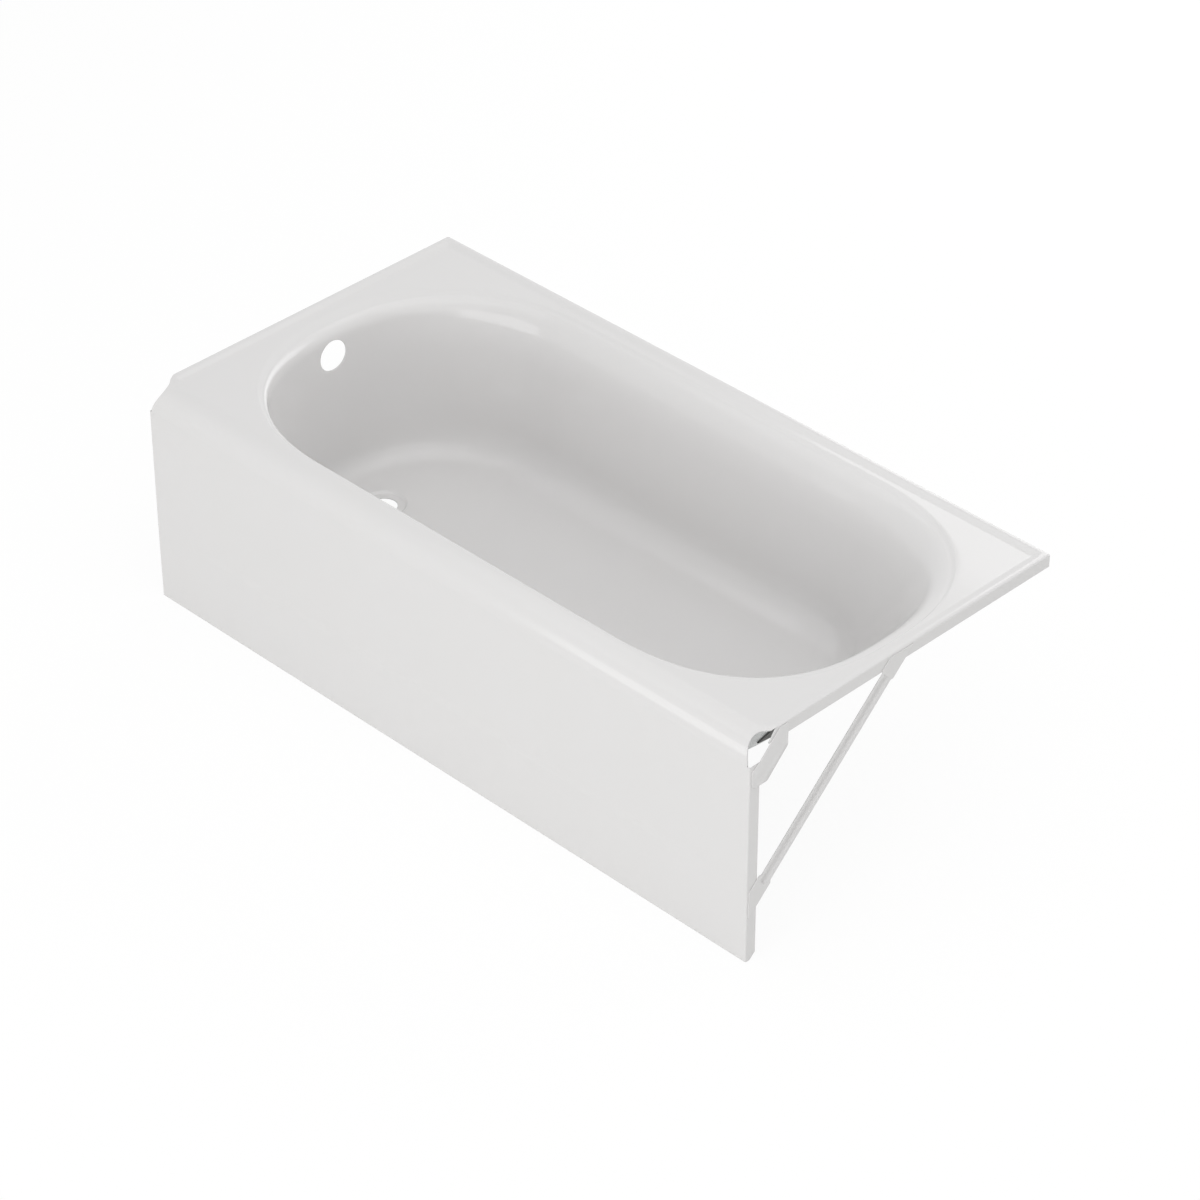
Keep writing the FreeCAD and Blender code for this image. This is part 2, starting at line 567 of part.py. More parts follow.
def main():
    os.makedirs("parts", exist_ok=True)
    save(bath_shell(), "bath_shell")
    save(apron_panel(), "apron_panel")
    for side, hand in ((-1, "left"), (1, "right")):
        save(corner_gusset(side), "corner_gusset_" + hand)
        save(end_brace(side), "end_brace_" + hand)
    for name, shape in list(damping_pads().items()) + list(bearers().items()):
        save(shape, name)


if __name__ == "__main__":
    main()
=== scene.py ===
"""Alcove bathtub in white porcelain enamel, dressed over its CAD frame.

The shell is one closed surface on a grid of lines and rows. The lines run out from the drain hole,
up the basin wall, over the deck and down to the edge of the sheet; the rows go round the basin.
Lengths are in metres. "behind" is the distance behind the apron face, measured along the sheet, so
that it runs on round the roll.
"""

import math

import bpy
import numpy as np
from bpy.props import FloatProperty, FloatVectorProperty, PointerProperty
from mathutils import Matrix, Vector


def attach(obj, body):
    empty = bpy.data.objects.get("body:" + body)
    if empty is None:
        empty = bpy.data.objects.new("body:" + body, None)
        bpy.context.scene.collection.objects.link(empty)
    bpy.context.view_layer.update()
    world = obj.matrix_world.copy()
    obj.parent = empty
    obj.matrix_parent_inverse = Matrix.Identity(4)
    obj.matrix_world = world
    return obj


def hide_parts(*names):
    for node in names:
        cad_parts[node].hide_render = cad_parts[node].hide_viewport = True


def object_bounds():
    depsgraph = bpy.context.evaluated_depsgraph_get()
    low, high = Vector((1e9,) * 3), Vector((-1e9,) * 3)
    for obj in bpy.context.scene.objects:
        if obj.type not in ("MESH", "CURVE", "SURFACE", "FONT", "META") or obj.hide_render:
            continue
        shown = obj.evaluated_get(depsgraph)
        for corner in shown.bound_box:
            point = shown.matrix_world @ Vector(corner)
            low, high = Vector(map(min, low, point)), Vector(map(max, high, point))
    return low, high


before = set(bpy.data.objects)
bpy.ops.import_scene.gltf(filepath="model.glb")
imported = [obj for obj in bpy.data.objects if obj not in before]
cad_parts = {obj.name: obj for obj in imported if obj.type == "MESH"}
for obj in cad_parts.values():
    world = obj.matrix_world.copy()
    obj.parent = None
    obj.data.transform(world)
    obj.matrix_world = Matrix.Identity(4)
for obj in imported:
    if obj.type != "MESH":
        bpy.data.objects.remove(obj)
CAD_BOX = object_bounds()

bl_info = {
    "name": "Alcove Bathtub",
    "version": (1, 0, 0),
    "blender": (4, 5, 0),
    "location": "3D View > Sidebar > Bathtub",
    "description": "Builds an enamelled alcove bathtub with its apron, brackets, pads and bearers",
    "category": "Add Mesh",
}

# ---- sheet metal ----
BATH_LOW, BATH_HIGH = (np.array(corner) for corner in CAD_BOX)
BRACKET_WALL = 0.002
END = BATH_HIGH[0] - BRACKET_WALL
FRONT = BATH_LOW[1]
DEPTH = BATH_HIGH[1] - BATH_LOW[1]
BEAD_HEIGHT = 0.003
DECK_Z = BATH_HIGH[2] - BEAD_HEIGHT
FLANGE_DROP = 0.025                   # depth of the end and back flanges
ROLL = 0.050                          # radius between deck and apron
SEAM_Z = DECK_Z - ROLL
BEND = 0.003                          # outer radius where a flange turns down
BEAD_LAND = 0.007
BEAD_RAMP = 0.019
BEAD_START = {"end": 0.0265, "back": 0.0285}   # first row of the bead, in from the edge
BEAD_CORNER = 0.025                   # rounding of the bead's foot in the corners
CORNER_SETBACK = 0.062
CORNER_LEAN = 0.017
RETURN_DEPTH = 0.0245                 # the apron's end returns
BRACE_DROP = 0.327                    # centre of a brace's foot, below the top
EDGE_GAP = 0.004                      # gussets and braces, in from the bath's own edges
FLUSH = 0.00002                       # edge rounding where two sheets meet flush

# ---- basin ----
RIM = {"drain": 0.069, "head": 0.031, "front": 0.054, "back": 0.046}
FLOOR = {"drain": 0.134, "head": 0.318, "front": 0.120, "back": 0.170}
RIM_REACH = {"drain": 0.345, "head": 0.360}
FLOOR_REACH = {"drain": 0.190, "head": 0.175}
RIM_FULLNESS = {"drain": 2.25, "head": 2.45}
FLOOR_FULLNESS = 2.3
DISH = {"drain": 0.028, "head": 0.004, "front": 0.0015, "back": 0.012}
DISH_DEPTH = 0.0024
BASIN_DEPTH = 0.334
RUN_DEPTH = BASIN_DEPTH - DISH_DEPTH
FLOOR_Z = DECK_Z - BASIN_DEPTH
FLOOR_FALL = 0.009
LIP = {"drain": (0.020, 0.030), "head": (0.045, 0.070), "front": (0.010, 0.010), "back": (0.050, 0.100)}
LIP_ROWS = 0.018                      # depth over which the first rows are close together
FILLET = {"drain": 0.044, "head": 0.090, "front": 0.050, "back": 0.070}
LIP_TURN = 84                         # degrees that the first wall rows cover, and the fillet's rows
DRAIN_X = -END + 0.218
OUTLET_Y = -0.0045                    # line of drain and overflow
OUTLET = np.array([DRAIN_X, OUTLET_Y])
OVERFLOW_DEPTH = 0.0585 - DISH_DEPTH  # centre, below the rim
OVERFLOW_Z = DECK_Z - DISH_DEPTH - OVERFLOW_DEPTH
SEAT_RADIUS = 0.042
SEAT_DEPTH = 0.004

# ---- the shell's grid of lines ----
HOLE_CELLS = 16                       # cells across the block that the overflow hole replaces
HOLE_CELL = 0.004
WARP_END = 1.55                       # where the hole's pull on the cells ends, in half blocks
SIDE_LINES = 45                       # on each straight side of the basin
# lines along each stretch of an end, from its front to its back
HEAD_QUARTER = {"edge": 18, "notch": 22, "lean": 5, "front_half": 19, "back_half": 26, "corner": 8,
                "back": 30}
DRAIN_QUARTER = {**HEAD_QUARTER, "front_half": 21, "back_half": 28}
CORNER_ROUND = 0.004                  # upright corner between two flanges
BEAD_SHARES = 1.0 - (np.array([25.2, 24, 22.5, 21, 19, 17, 15, 13, 11, 9, 7, 3]) - 3.0) / 23.5
BEND_RUN = BEND * np.pi / 2
FLANGE_RUN = BEND_RUN + FLANGE_DROP - BEND
FOLD_SHARES = np.concatenate([np.arange(1, 6) * BEND_RUN / 5 / FLANGE_RUN,
                              BEND_RUN / FLANGE_RUN + (1.0 - BEND_RUN / FLANGE_RUN)
                              * np.array([0.1, 0.25, 0.45, 0.7, 0.95, 0.995, 1.0])])
SEAM_BEHIND = ROLL * (1 - np.pi / 2)  # where the roll meets the apron

# ---- studio ----
CAMERA_PLACE = (4.5122, -4.4923, 4.7535)
CAMERA_AIM = (-0.5734, 0.5752, -0.5834)
LIGHTS_AIM = (0.0, 0.0, 0.25)
FLOOR_SPAN = 12.0                     # half of the floor's side
FLOOR_WHITE = 0.9                     # share of the floor that shows as plain white


def smooth(value, start, end):
    """Smoothstep 3t^2 - 2t^3 of how far value has come from start to end, held at 0 and 1 outside."""
    t = np.clip((value - start) / (end - start), 0.0, 1.0)
    return t * t * (3.0 - 2.0 * t)


def mix(start, end, share):
    """start + (end - start) share, the straight way from one value to another."""
    return start + (end - start) * share


def column(values):
    """The values as a column, one for each row."""
    return np.asarray(values, dtype=float)[:, None]


def stacked(*parts):
    """The given arrays, stretched to one shape, as the coordinates of points."""
    return np.stack(np.broadcast_arrays(*parts), axis=-1)


def circle_points(degrees):
    """Unit circle: (cos a, sin a)."""
    return stacked(np.cos(np.radians(degrees)), np.sin(np.radians(degrees)))


# ---- meshes ----

def grid_faces(rows, columns, closed=False):
    """Quads of a grid whose vertex (r, c) has the index r * columns + c."""
    r, c = np.indices((rows, columns) if closed else (rows - 1, columns - 1))
    r_next, c_next = (r + 1) % rows, (c + 1) % columns
    return stacked(r * columns + c, r * columns + c_next, r_next * columns + c_next, r_next * columns + c)


def bridge(loops):
    """Quads between each closed loop of vertex indices and the next one."""
    return np.concatenate([stacked(a, np.roll(a, -1), np.roll(b, -1), b) for a, b in zip(loops, loops[1:])])


def signed_volume(points, faces):
    """Sum over the quads of a . (b x c) for their triangles, divided by six."""
    a, b, c, d = (points[faces[:, corner]] for corner in range(4))
    return (np.einsum("ij,ij->", a, np.cross(b, c)) + np.einsum("ij,ij->", a, np.cross(c, d))) / 6.0


def outwards(points, faces):
    """The quads, turned round where the volume that they close comes out negative."""
    return faces[:, ::-1] if signed_volume(points, faces) < 0 else faces


def make_piece(name, points, faces, materials, slots=None, caps=()):
    """Object from (n, 3) points and (m, 4) quads, turned outwards, without its unused vertices.
    caps are flat faces given as arrays of vertex indices."""
    if signed_volume(points, faces) < 0:
        faces, caps = faces[:, ::-1], [cap[::-1] for cap in caps]
    used, packed = np.unique(np.concatenate([faces.ravel(), *caps]), return_inverse=True)
    sizes = np.array([4] * len(faces) + [len(cap) for cap in caps])
    slots = 0 * sizes if slots is None else slots
    mesh = bpy.data.meshes.new(name)
    mesh.vertices.add(len(used))
    mesh.vertices.foreach_set("co", points[used].ravel().astype(np.float32))
    mesh.loops.add(len(packed))
    mesh.loops.foreach_set("vertex_index", packed.astype(np.int32))
    mesh.polygons.add(len(sizes))
    mesh.polygons.foreach_set("loop_start", (np.cumsum(sizes) - sizes).astype(np.int32))
    mesh.polygons.foreach_set("use_smooth", np.ones(len(sizes), dtype=bool))
    for material in materials:
        mesh.materials.append(material)
    mesh.polygons.foreach_set("material_index", slots.astype(np.int32))
    mesh.update(calc_edges=True)
    mesh.validate()
    piece = bpy.data.objects.new(name, mesh)
    bpy.context.scene.collection.objects.link(piece)
    return piece


# ---- basin ----

def lines_to_tip(quarter):
    """How many lines an end has from its front to its tip."""
    return sum(quarter[part] for part in ("edge", "notch", "lean", "front_half"))


def end_lines(quarter, centre_steps):
    """Angles of the lines of one rounded end, from its front (-90 degrees) to its back (90).
    Near the tip they are spaced so that the overflow hole's cells come out square."""
    front = lines_to_tip(quarter)
    back = sum(quarter.values()) - front
    if not centre_steps:
        front_angles, back_angles = np.linspace(-np.pi / 2, 0, front + 1), np.linspace(0, np.pi / 2, back + 1)
        return np.concatenate([front_angles, back_angles[1:]])
    cells = np.arange(1, centre_steps + 1) * HOLE_CELL / wall_half_width(OVERFLOW_DEPTH, 0.0)
    centre = np.arcsin(cells ** (wall_fullness("drain", OVERFLOW_DEPTH, 0.0) / 2))
    outer_front, outer_back = (np.linspace(centre[-1], np.pi / 2, count - centre_steps + 1)[1:]
                               for count in (front, back))
    return np.concatenate([-outer_front[::-1], -centre[::-1], [0.0], centre, outer_back])


def wall_run(side, depth, offset):
    """How far in from the rim the wall is at a depth. The lip is a quarter ellipse (a sin t,
    b - b cos t) as far as the point from which its tangent also touches the floor's round fillet;
    the tangent is the slope. offset moves every point towards the underside, along its normal."""
    inset, (across, down), fillet = FLOOR[side] - RIM[side], LIP[side], FILLET[side]
    turn = np.linspace(0.0, 0.6 * np.pi, 2001)        # fine enough for a table of the curve
    slope = np.arctan2(down * np.sin(turn), across * np.cos(turn))
    run, fall = across * np.sin(turn), down * (1.0 - np.cos(turn))
    miss = ((inset - fillet * np.sin(slope) - run) * np.sin(slope)
            - (RUN_DEPTH - fillet + fillet * np.cos(slope) - fall) * np.cos(slope))
    last = np.argmax(miss >= 0.0)
    foot = np.linspace(slope[last], 0.0, 400)
    run = np.concatenate([run[:last] - offset * np.sin(slope[:last]),
                          inset - (fillet + offset) * np.sin(foot)])
    fall = np.concatenate([fall[:last] + offset * np.cos(slope[:last]),
                           RUN_DEPTH - fillet + (fillet + offset) * np.cos(foot)])
    return np.interp(np.asarray(depth, dtype=float), fall, run)


def wall_share(side, depth, offset):
    """How much of its way in from rim to floor the wall has come at a depth."""
    return wall_run(side, depth, offset) / (FLOOR[side] - RIM[side])


def wall_fullness(end, depth, offset):
    """The superellipse's exponent, from the rim's to the floor's in step with the wall's run."""
    return mix(RIM_FULLNESS[end], FLOOR_FULLNESS, wall_share(end, depth, offset))


def wall_reach(end, depth, offset):
    """How far an end is rounded, from the rim's to the floor's in step with the wall's run."""
    return mix(RIM_REACH[end], FLOOR_REACH[end], wall_share(end, depth, offset))


def inset_sides(inset):
    """x of the drain and head sides and y of the front and back sides at a distance in from the
    bath's edges, given for each side."""
    return -END + inset["drain"], END - inset["head"], FRONT + inset["front"], BATH_HIGH[1] - inset["back"]


def wall_sides(depth, offset):
    """The basin's four sides at a depth: the rim's insets plus the wall's run."""
    return inset_sides({side: RIM[side] + wall_run(side, depth, offset) for side in RIM})


def wall_half_width(depth, offset):
    """Half of the way from the front side to the back side at a depth."""
    _, _, front, back = wall_sides(depth, offset)
    return (back - front) / 2


def outline(low, high, front, back, reach, fullness, lines):
    """Points of closed outlines, one per row, on the shell's lines. Each rounded end is a half
    superellipse: x = tip - reach (1 - cos^p a), y = middle + half-width sin^p a, with p = 2 / fullness.
    The straight sides join the ends. low, high, front, back and the values in reach and fullness
    are columns."""
    half, middle = (back - front) / 2, (back + front) / 2

    def rounded(tip, side, end):
        """Half superellipse of one end, by the formula above."""
        power, angles = 2.0 / fullness[end], lines[end]
        cos, sin = np.maximum(np.cos(angles), 0.0) ** power, np.sign(angles) * np.abs(np.sin(angles)) ** power
        return tip - side * reach[end] * (1.0 - cos), middle + half * sin

    (head_x, head_y), (drain_x, drain_y) = rounded(high, 1, "head"), rounded(low, -1, "drain")
    straight = high - reach["head"], low + reach["drain"]
    back_x, front_x = mix(*straight, lines["side"]), mix(*straight[::-1], lines["side"])
    x = np.concatenate([head_x, back_x, drain_x[:, ::-1], front_x], axis=1)
    y = np.concatenate([head_y, back + 0 * back_x, drain_y[:, ::-1], front + 0 * front_x], axis=1)
    return x, y


def wall_height(x, depths):
    """The basin's floor rises towards the head end; the wall takes that up with depth squared."""
    sunk = np.clip(depths / RUN_DEPTH, 0.0, 1.0) ** 2
    return DECK_Z - DISH_DEPTH - depths + FLOOR_FALL * sunk * (x - DRAIN_X)


def drain_wall_point(y, depths, offset):
    """Point of the drain-end wall for any y and depth, from the superellipse solved for x."""
    tip, _, front, back = wall_sides(depths, offset)
    fullness = wall_fullness("drain", depths, offset)
    across = np.abs(y - (front + back) / 2) / ((back - front) / 2)
    x = tip + wall_reach("drain", depths, offset) * (1.0 - (1.0 - across ** fullness) ** (1.0 / fullness))
    return stacked(x, y, wall_height(x, depths))


def dish_outline(lines):
    """x and y of the outer edge of the dished ring round the opening."""
    sides = inset_sides({side: RIM[side] - DISH[side] for side in RIM})
    reach = {end: column([RIM_REACH[end] + DISH[end]]) for end in RIM_REACH}
    fullness = {end: column([RIM_FULLNESS[end]]) for end in RIM_REACH}
    x, y = outline(*(column([side]) for side in sides), reach, fullness, lines)
    return x[0], y[0]


def hole_warp(y, middle, depths, radius):
    """Moves grid points round the overflow hole: squares of cells about the end wall's middle become
    circles about the hole. A point at square distance q from the middle goes to the circle of radius
    q, and less so further out."""
    half = HOLE_CELLS * HOLE_CELL / 2
    across, down = (y - middle) / half, (depths - OVERFLOW_DEPTH) / half
    square = np.maximum(np.maximum(np.abs(across), np.abs(down)), 1e-9)
    scale = square * radius / np.maximum(np.hypot(across, down), 1e-9)
    pull = 1.0 - smooth(square, 1.0, WARP_END)
    return mix(y, OUTLET_Y + across * scale, pull), mix(depths, OVERFLOW_DEPTH + down * scale, pull)


def wall_rows(depths, offset, hole_radius, lines):
    """Wall rows as a (rows, lines, 3) array, with the drain end warped round the overflow hole."""
    depths = column(depths)
    reach, fullness = ({end: size(end, depths, offset) for end in RIM_REACH}
                       for size in (wall_reach, wall_fullness))
    x, y = outline(*wall_sides(depths, offset), reach, fullness, lines)
    points = stacked(x, y, wall_height(x, depths))
    tip = lines["hole"].start + HOLE_CELLS // 2
    near = slice(tip - HOLE_CELLS, tip + HOLE_CELLS)
    depths = np.broadcast_to(depths, y[:, near].shape)
    warped = drain_wall_point(*hole_warp(y[:, near], column(y[:, tip]), depths, hole_radius), offset)
    points[:, near] = np.where((depths > LIP_ROWS)[..., None], warped, points[:, near])
    return points


def lip_depths(offset, degrees):
    """Depths of the lip's rows: they go from the offset to LIP_ROWS as 1 - cos a does."""
    return LIP_ROWS - (LIP_ROWS - offset) * np.cos(np.radians(degrees))


def fillet_depths(offset, degrees):
    """Depths of the fillet's rows: its centre's depth plus its radius times cos a."""
    return RUN_DEPTH - FILLET["drain"] + (FILLET["drain"] + offset) * np.cos(np.radians(degrees))


def floor_height(x):
    """The floor falls evenly towards the drain."""
    return FLOOR_Z + FLOOR_FALL * (x - DRAIN_X)


def floor_rows(outer, shares, radius, seat_radii, offset):
    """Rows from the wall's foot in to the drain. They shrink from the outline to a circle of the
    given radius, and then follow circles down the pressed seat: z falls by smoothstep between the
    seat's outer and inner radius."""
    count, head_tip, drain_tip = len(outer), np.argmax(outer[:, 0]), np.argmin(outer[:, 0])
    turn = np.interp((np.arange(count) - head_tip) % count, [0, (drain_tip - head_tip) % count, count],
                     [0, np.pi, 2 * np.pi])
    circle = stacked(np.cos(turn), np.sin(turn))
    shares, seat_radii = (np.asarray(values)[:, None, None] for values in (shares, seat_radii))
    plan = np.concatenate([mix(outer[:, :2], OUTLET + radius * circle, shares), OUTLET + seat_radii * circle])
    x, y = plan[..., 0], plan[..., 1]
    width = SEAT_RADIUS + 0.5 * offset
    pressed = 1.0 - smooth(np.hypot(x - DRAIN_X, y - OUTLET_Y), width - 0.003, width + 0.004)
    return stacked(x, y, mix(floor_height(x), FLOOR_Z - SEAT_DEPTH, pressed) - offset), circle


# ---- deck, roll, flanges and notches ----

def notch_curve(count):
    """Edge of the relief notch at one corner, in unrolled (out from the middle, behind) coordinates.
    In plan it is a circular arc through the foot, the deepest point and the mouth, then a line to
    the end flange; each plan point is carried onto the roll by its arc length."""
    plan = np.array([[END - 0.005, -0.001], [END - 0.019, 0.022], [END - 0.007, CORNER_SETBACK - 0.014]])
    squares = (plan ** 2).sum(axis=1)
    centre = np.linalg.solve(2 * (plan[1:] - plan[0]), squares[1:] - squares[0])
    angles = np.unwrap(np.arctan2(*(plan[:, ::-1] - centre[::-1]).T))
    angles = np.linspace(angles[0], angles[2], 200)
    arc = centre + np.hypot(*(plan[0] - centre)) * stacked(np.cos(angles), np.sin(angles))
    out, behind = arc[arc[:, 1] >= 0].T
    behind = np.where(behind < ROLL, ROLL - ROLL * np.arcsin(np.clip(1 - behind / ROLL, 0, 1)), behind)
    foot = stacked(out[0], np.linspace(SEAM_BEHIND, behind[0], 21)[:-1])
    mouth = np.linspace(plan[2], [END, CORNER_SETBACK], 20)[1:]
    return resample(np.concatenate([foot, stacked(out, behind), mouth]), count)


def resample(path, count):
    """count + 1 points at equal steps along a polyline."""
    steps = np.concatenate([[0.0], np.cumsum(np.hypot(*np.diff(path, axis=0).T))])
    at = np.linspace(0.0, steps[-1], count + 1)
    return stacked(np.interp(at, steps, path[:, 0]), np.interp(at, steps, path[:, 1]))


def half_ring(quarter, straight_end):
    """Targets of the lines of one rounded end, from the front straight to the back straight, for
    the end at +x: where the bare deck ends, where the flange starts to bend and the sheet's edge.
    Each is an array of (out, behind); the edge's flange part is unrolled beyond the bend. turn is
    the direction in which each line folds."""
    inner, crest = END - BEAD_START["end"], ROLL + 0.0002
    back_in, lean_end = DEPTH - BEAD_START["back"], 0.095
    bend_at, flange = END - BEND, END - BEND + FLANGE_RUN
    back_flange = DEPTH + flange - END
    middle = (RIM["front"] + DEPTH - RIM["back"]) / 2
    corner_at, corner_back = END - CORNER_ROUND, DEPTH - CORNER_ROUND

    def arc(centre, start, end, count):
        """Arc of the bead's corner, by cos and sin of even steps of the angle."""
        return centre + BEAD_CORNER * circle_points(np.linspace(start, end, count + 1))

    def path(*stretches):
        """Points along stretches, each given by its two ends or by all its points."""
        parts = [np.linspace(*stretch, count + 1) if len(stretch) == 2 else stretch
                 for stretch, count in zip(stretches, quarter.values())]
        return np.concatenate([parts[0]] + [part[1:] for part in parts[1:]])

    def chain(*points):
        """Straight stretches from each point to the next."""
        return list(zip(points, points[1:]))

    round_at, round_back = inner - BEAD_CORNER, back_in - BEAD_CORNER
    deck = path(([straight_end, crest], [round_at, crest]),
                arc((round_at, crest + BEAD_CORNER), -90, 0, quarter["notch"]),
                *chain([inner, crest + BEAD_CORNER], [inner, lean_end], [inner, middle], [inner, round_back]),
                arc((round_at, round_back), 0, 90, quarter["corner"]),
                ([round_at, back_in], [straight_end, back_in]))
    notch = notch_curve(quarter["notch"])
    lean_foot = [flange, CORNER_SETBACK - CORNER_LEAN]
    edge = path(([straight_end, SEAM_BEHIND], notch[0]), notch,
                *chain([END, CORNER_SETBACK], lean_foot, [flange, middle], [flange, corner_back],
                       [corner_at, back_flange], [straight_end, back_flange]))
    count = len(deck)
    first_lean = quarter["edge"] + quarter["notch"]
    last_lean = first_lean + quarter["lean"]
    corner = last_lean + quarter["front_half"] + quarter["back_half"]
    corner_end = corner + quarter["corner"]
    side, turning, back = slice(first_lean, corner), slice(corner, corner_end + 1), slice(corner_end, count)

    turn = np.zeros((count, 2))
    turn[side, 0] = 1.0
    turn[turning] = circle_points(np.linspace(0, 90, quarter["corner"] + 1))
    turn[back] = (0.0, 1.0)

    share = np.full(count, 0.5)
    share[:first_lean + 1] = np.interp(np.arange(first_lean + 1), [quarter["edge"], first_lean], [0.5, 0.914])
    fold = mix(deck, edge, column(share))
    to_bend = (bend_at - deck[side, 0]) / (edge[side, 0] - deck[side, 0])
    fold[side] = mix(deck[side], edge[side], column(to_bend))
    ease = smooth(np.arange(count)[side], last_lean, last_lean + quarter["front_half"] * 0.7)
    fold[side, 1] = mix(fold[side, 1], edge[side, 1], ease)
    fold[turning] = (corner_at, corner_back) + (CORNER_ROUND - BEND) * turn[turning]
    fold[back] = stacked(edge[back, 0], DEPTH - BEND)

    run = np.full(count, flange - bend_at)
    run[:first_lean] = 0.0
    run[first_lean:last_lean + 1] = edge[first_lean:last_lean + 1, 0] - bend_at
    foot = edge.copy()
    foot[side, 0] = bend_at
    foot[turning] = fold[turning]
    foot[back, 1] = DEPTH - BEND
    return {"deck": deck, "fold": fold, "foot": foot, "turn": turn, "run": run,
            "front": np.interp(np.arange(count), [quarter["edge"], first_lean], [1.0, 0.0])}


def ring_targets(side, straight_head, straight_drain):
    """The same targets for all lines: head end, back side, drain end mirrored, front side."""
    head, drain = half_ring(HEAD_QUARTER, straight_head), half_ring(DRAIN_QUARTER, straight_drain)
    targets = {}
    for key, first in head.items():
        second = drain[key][::-1].copy()
        if first.ndim == 2:
            second[:, 0] *= -1
        share = column(side) if first.ndim == 2 else side
        targets[key] = np.concatenate([first, mix(first[-1], second[0], share), second,
                                       mix(second[-1], first[0], share)])
    return targets


def bead_height(out, behind):
    """Height of the tile bead over the deck: full on a land along the end and back edges, easing
    down its ramp by smoothstep, and ending in front before the notch."""
    width = BEAD_LAND + BEAD_RAMP
    ends = 1.0 - smooth(END - np.abs(out), BEAD_LAND, width)
    ends = ends * smooth(behind, CORNER_SETBACK - BEAD_RAMP / 2, CORNER_SETBACK)
    back = 1.0 - smooth(DEPTH - behind, BEAD_LAND, width)
    return BEAD_HEIGHT * (1.0 - (1.0 - ends) * (1.0 - back))


def sheet_points(out, behind, run, turn, top, offset):
    """Carries unrolled sheet coordinates into space. In front of its crest the sheet follows the
    roll, a quarter circle; past a flange's fold line it follows the bend, a small quarter circle,
    and then drops straight down. offset moves the point into the sheet."""
    angle = np.clip((ROLL - behind) / ROLL, 0.0, np.pi / 2)
    on_roll, folded = behind < ROLL, run > 0
    y = np.where(on_roll, ROLL - (ROLL - offset) * np.sin(angle), behind)
    z = top - np.where(on_roll, ROLL - (ROLL - offset) * np.cos(angle), offset)
    bend = np.minimum(run / BEND, np.pi / 2)
    fallen = np.maximum(0.0, run - BEND_RUN)
    swing = (BEND - offset) * np.sin(bend)
    y = np.where(folded, behind, y) + turn[..., 1] * swing
    z = np.where(folded, top - BEND + (BEND - offset) * np.cos(bend) - fallen, z)
    return stacked(out + turn[..., 0] * swing, y + FRONT, z)


def deck_rows(lines, dish, shares, offset):
    """Rows of bare deck from the dish to the foot of the bead or the crest of the roll."""
    out, behind = lines["targets"]["deck"].T
    share = column(shares)
    return stacked(mix(dish[0], out, share), mix(dish[1] - FRONT, behind, share) + FRONT, DECK_Z - offset)


def edge_rows(lines, offset, bead_keep, fold_keep):
    """Rows over the bead, or the upper roll, and then over the bend and down the flange, or down
    the lower roll. bead_keep and fold_keep pick the rows that are made."""
    deck, fold, foot, turn, full_run, front = (lines["targets"][key]
                                               for key in ("deck", "fold", "foot", "turn", "run", "front"))

    def plan(start, end, shares, even, keep):
        """Points on the straight way from start to end, at the shares of the rows that are made."""
        share = mix(column(shares), column(even), front)[keep]
        out, behind = np.moveaxis(mix(start, end, share[..., None]), -1, 0)
        return out, behind, share

    even = np.arange(1, len(BEAD_SHARES) + 1) / len(BEAD_SHARES)
    out, behind, _ = plan(deck, fold, BEAD_SHARES, even, bead_keep)
    upper = sheet_points(out, behind, 0 * out, turn, DECK_Z + bead_height(out, behind), offset)

    folds = len(FOLD_SHARES)
    even = np.arange(1, folds + 1) / (folds - 1)
    even[-2:] = 0.995, 1.0
    out, behind, share = plan(fold, foot, FOLD_SHARES, even, fold_keep)
    flanged = full_run > 0
    spill = np.where(flanged, 0.0, np.maximum(0.0, np.abs(out) - (END - BEND)))
    side = np.sign(out) * (spill > 0)
    out = np.where(spill > 0, np.sign(out) * (END - BEND), out)
    top = DECK_Z + np.where(flanged, bead_height(*fold.T), bead_height(out, behind))
    lower = sheet_points(out, behind, share * full_run + spill, turn + stacked(side, 0 * side), top, offset)
    return np.concatenate([upper, lower])


def pull_back(rows, amount):
    """Moves the last row back towards the one before it, by a length for each line."""
    step = rows[-1] - rows[-2]
    length = np.maximum(np.linalg.norm(step, axis=-1, keepdims=True), 1e-9)
    rows[-1] -= step / length * np.minimum(column(amount), 0.45 * length)


# ---- the shell as a whole ----

def shell_lines():
    """Everything that the rows share: the angles of the ends' lines, the sides' steps, the targets
    on deck and edge, and the columns that the overflow hole's block covers."""
    side = np.arange(1, SIDE_LINES + 1) / (SIDE_LINES + 1)
    head, drain = end_lines(HEAD_QUARTER, 0), end_lines(DRAIN_QUARTER, HOLE_CELLS // 2 + 3)
    tip = len(head) + SIDE_LINES + len(drain) - 1 - lines_to_tip(DRAIN_QUARTER)
    straight_ends = (END - RIM[end] - RIM_REACH[end] for end in ("head", "drain"))
    return {"head": head, "drain": drain, "side": side, "targets": ring_targets(side, *straight_ends),
            "hole": slice(tip - HOLE_CELLS // 2, tip + HOLE_CELLS // 2)}


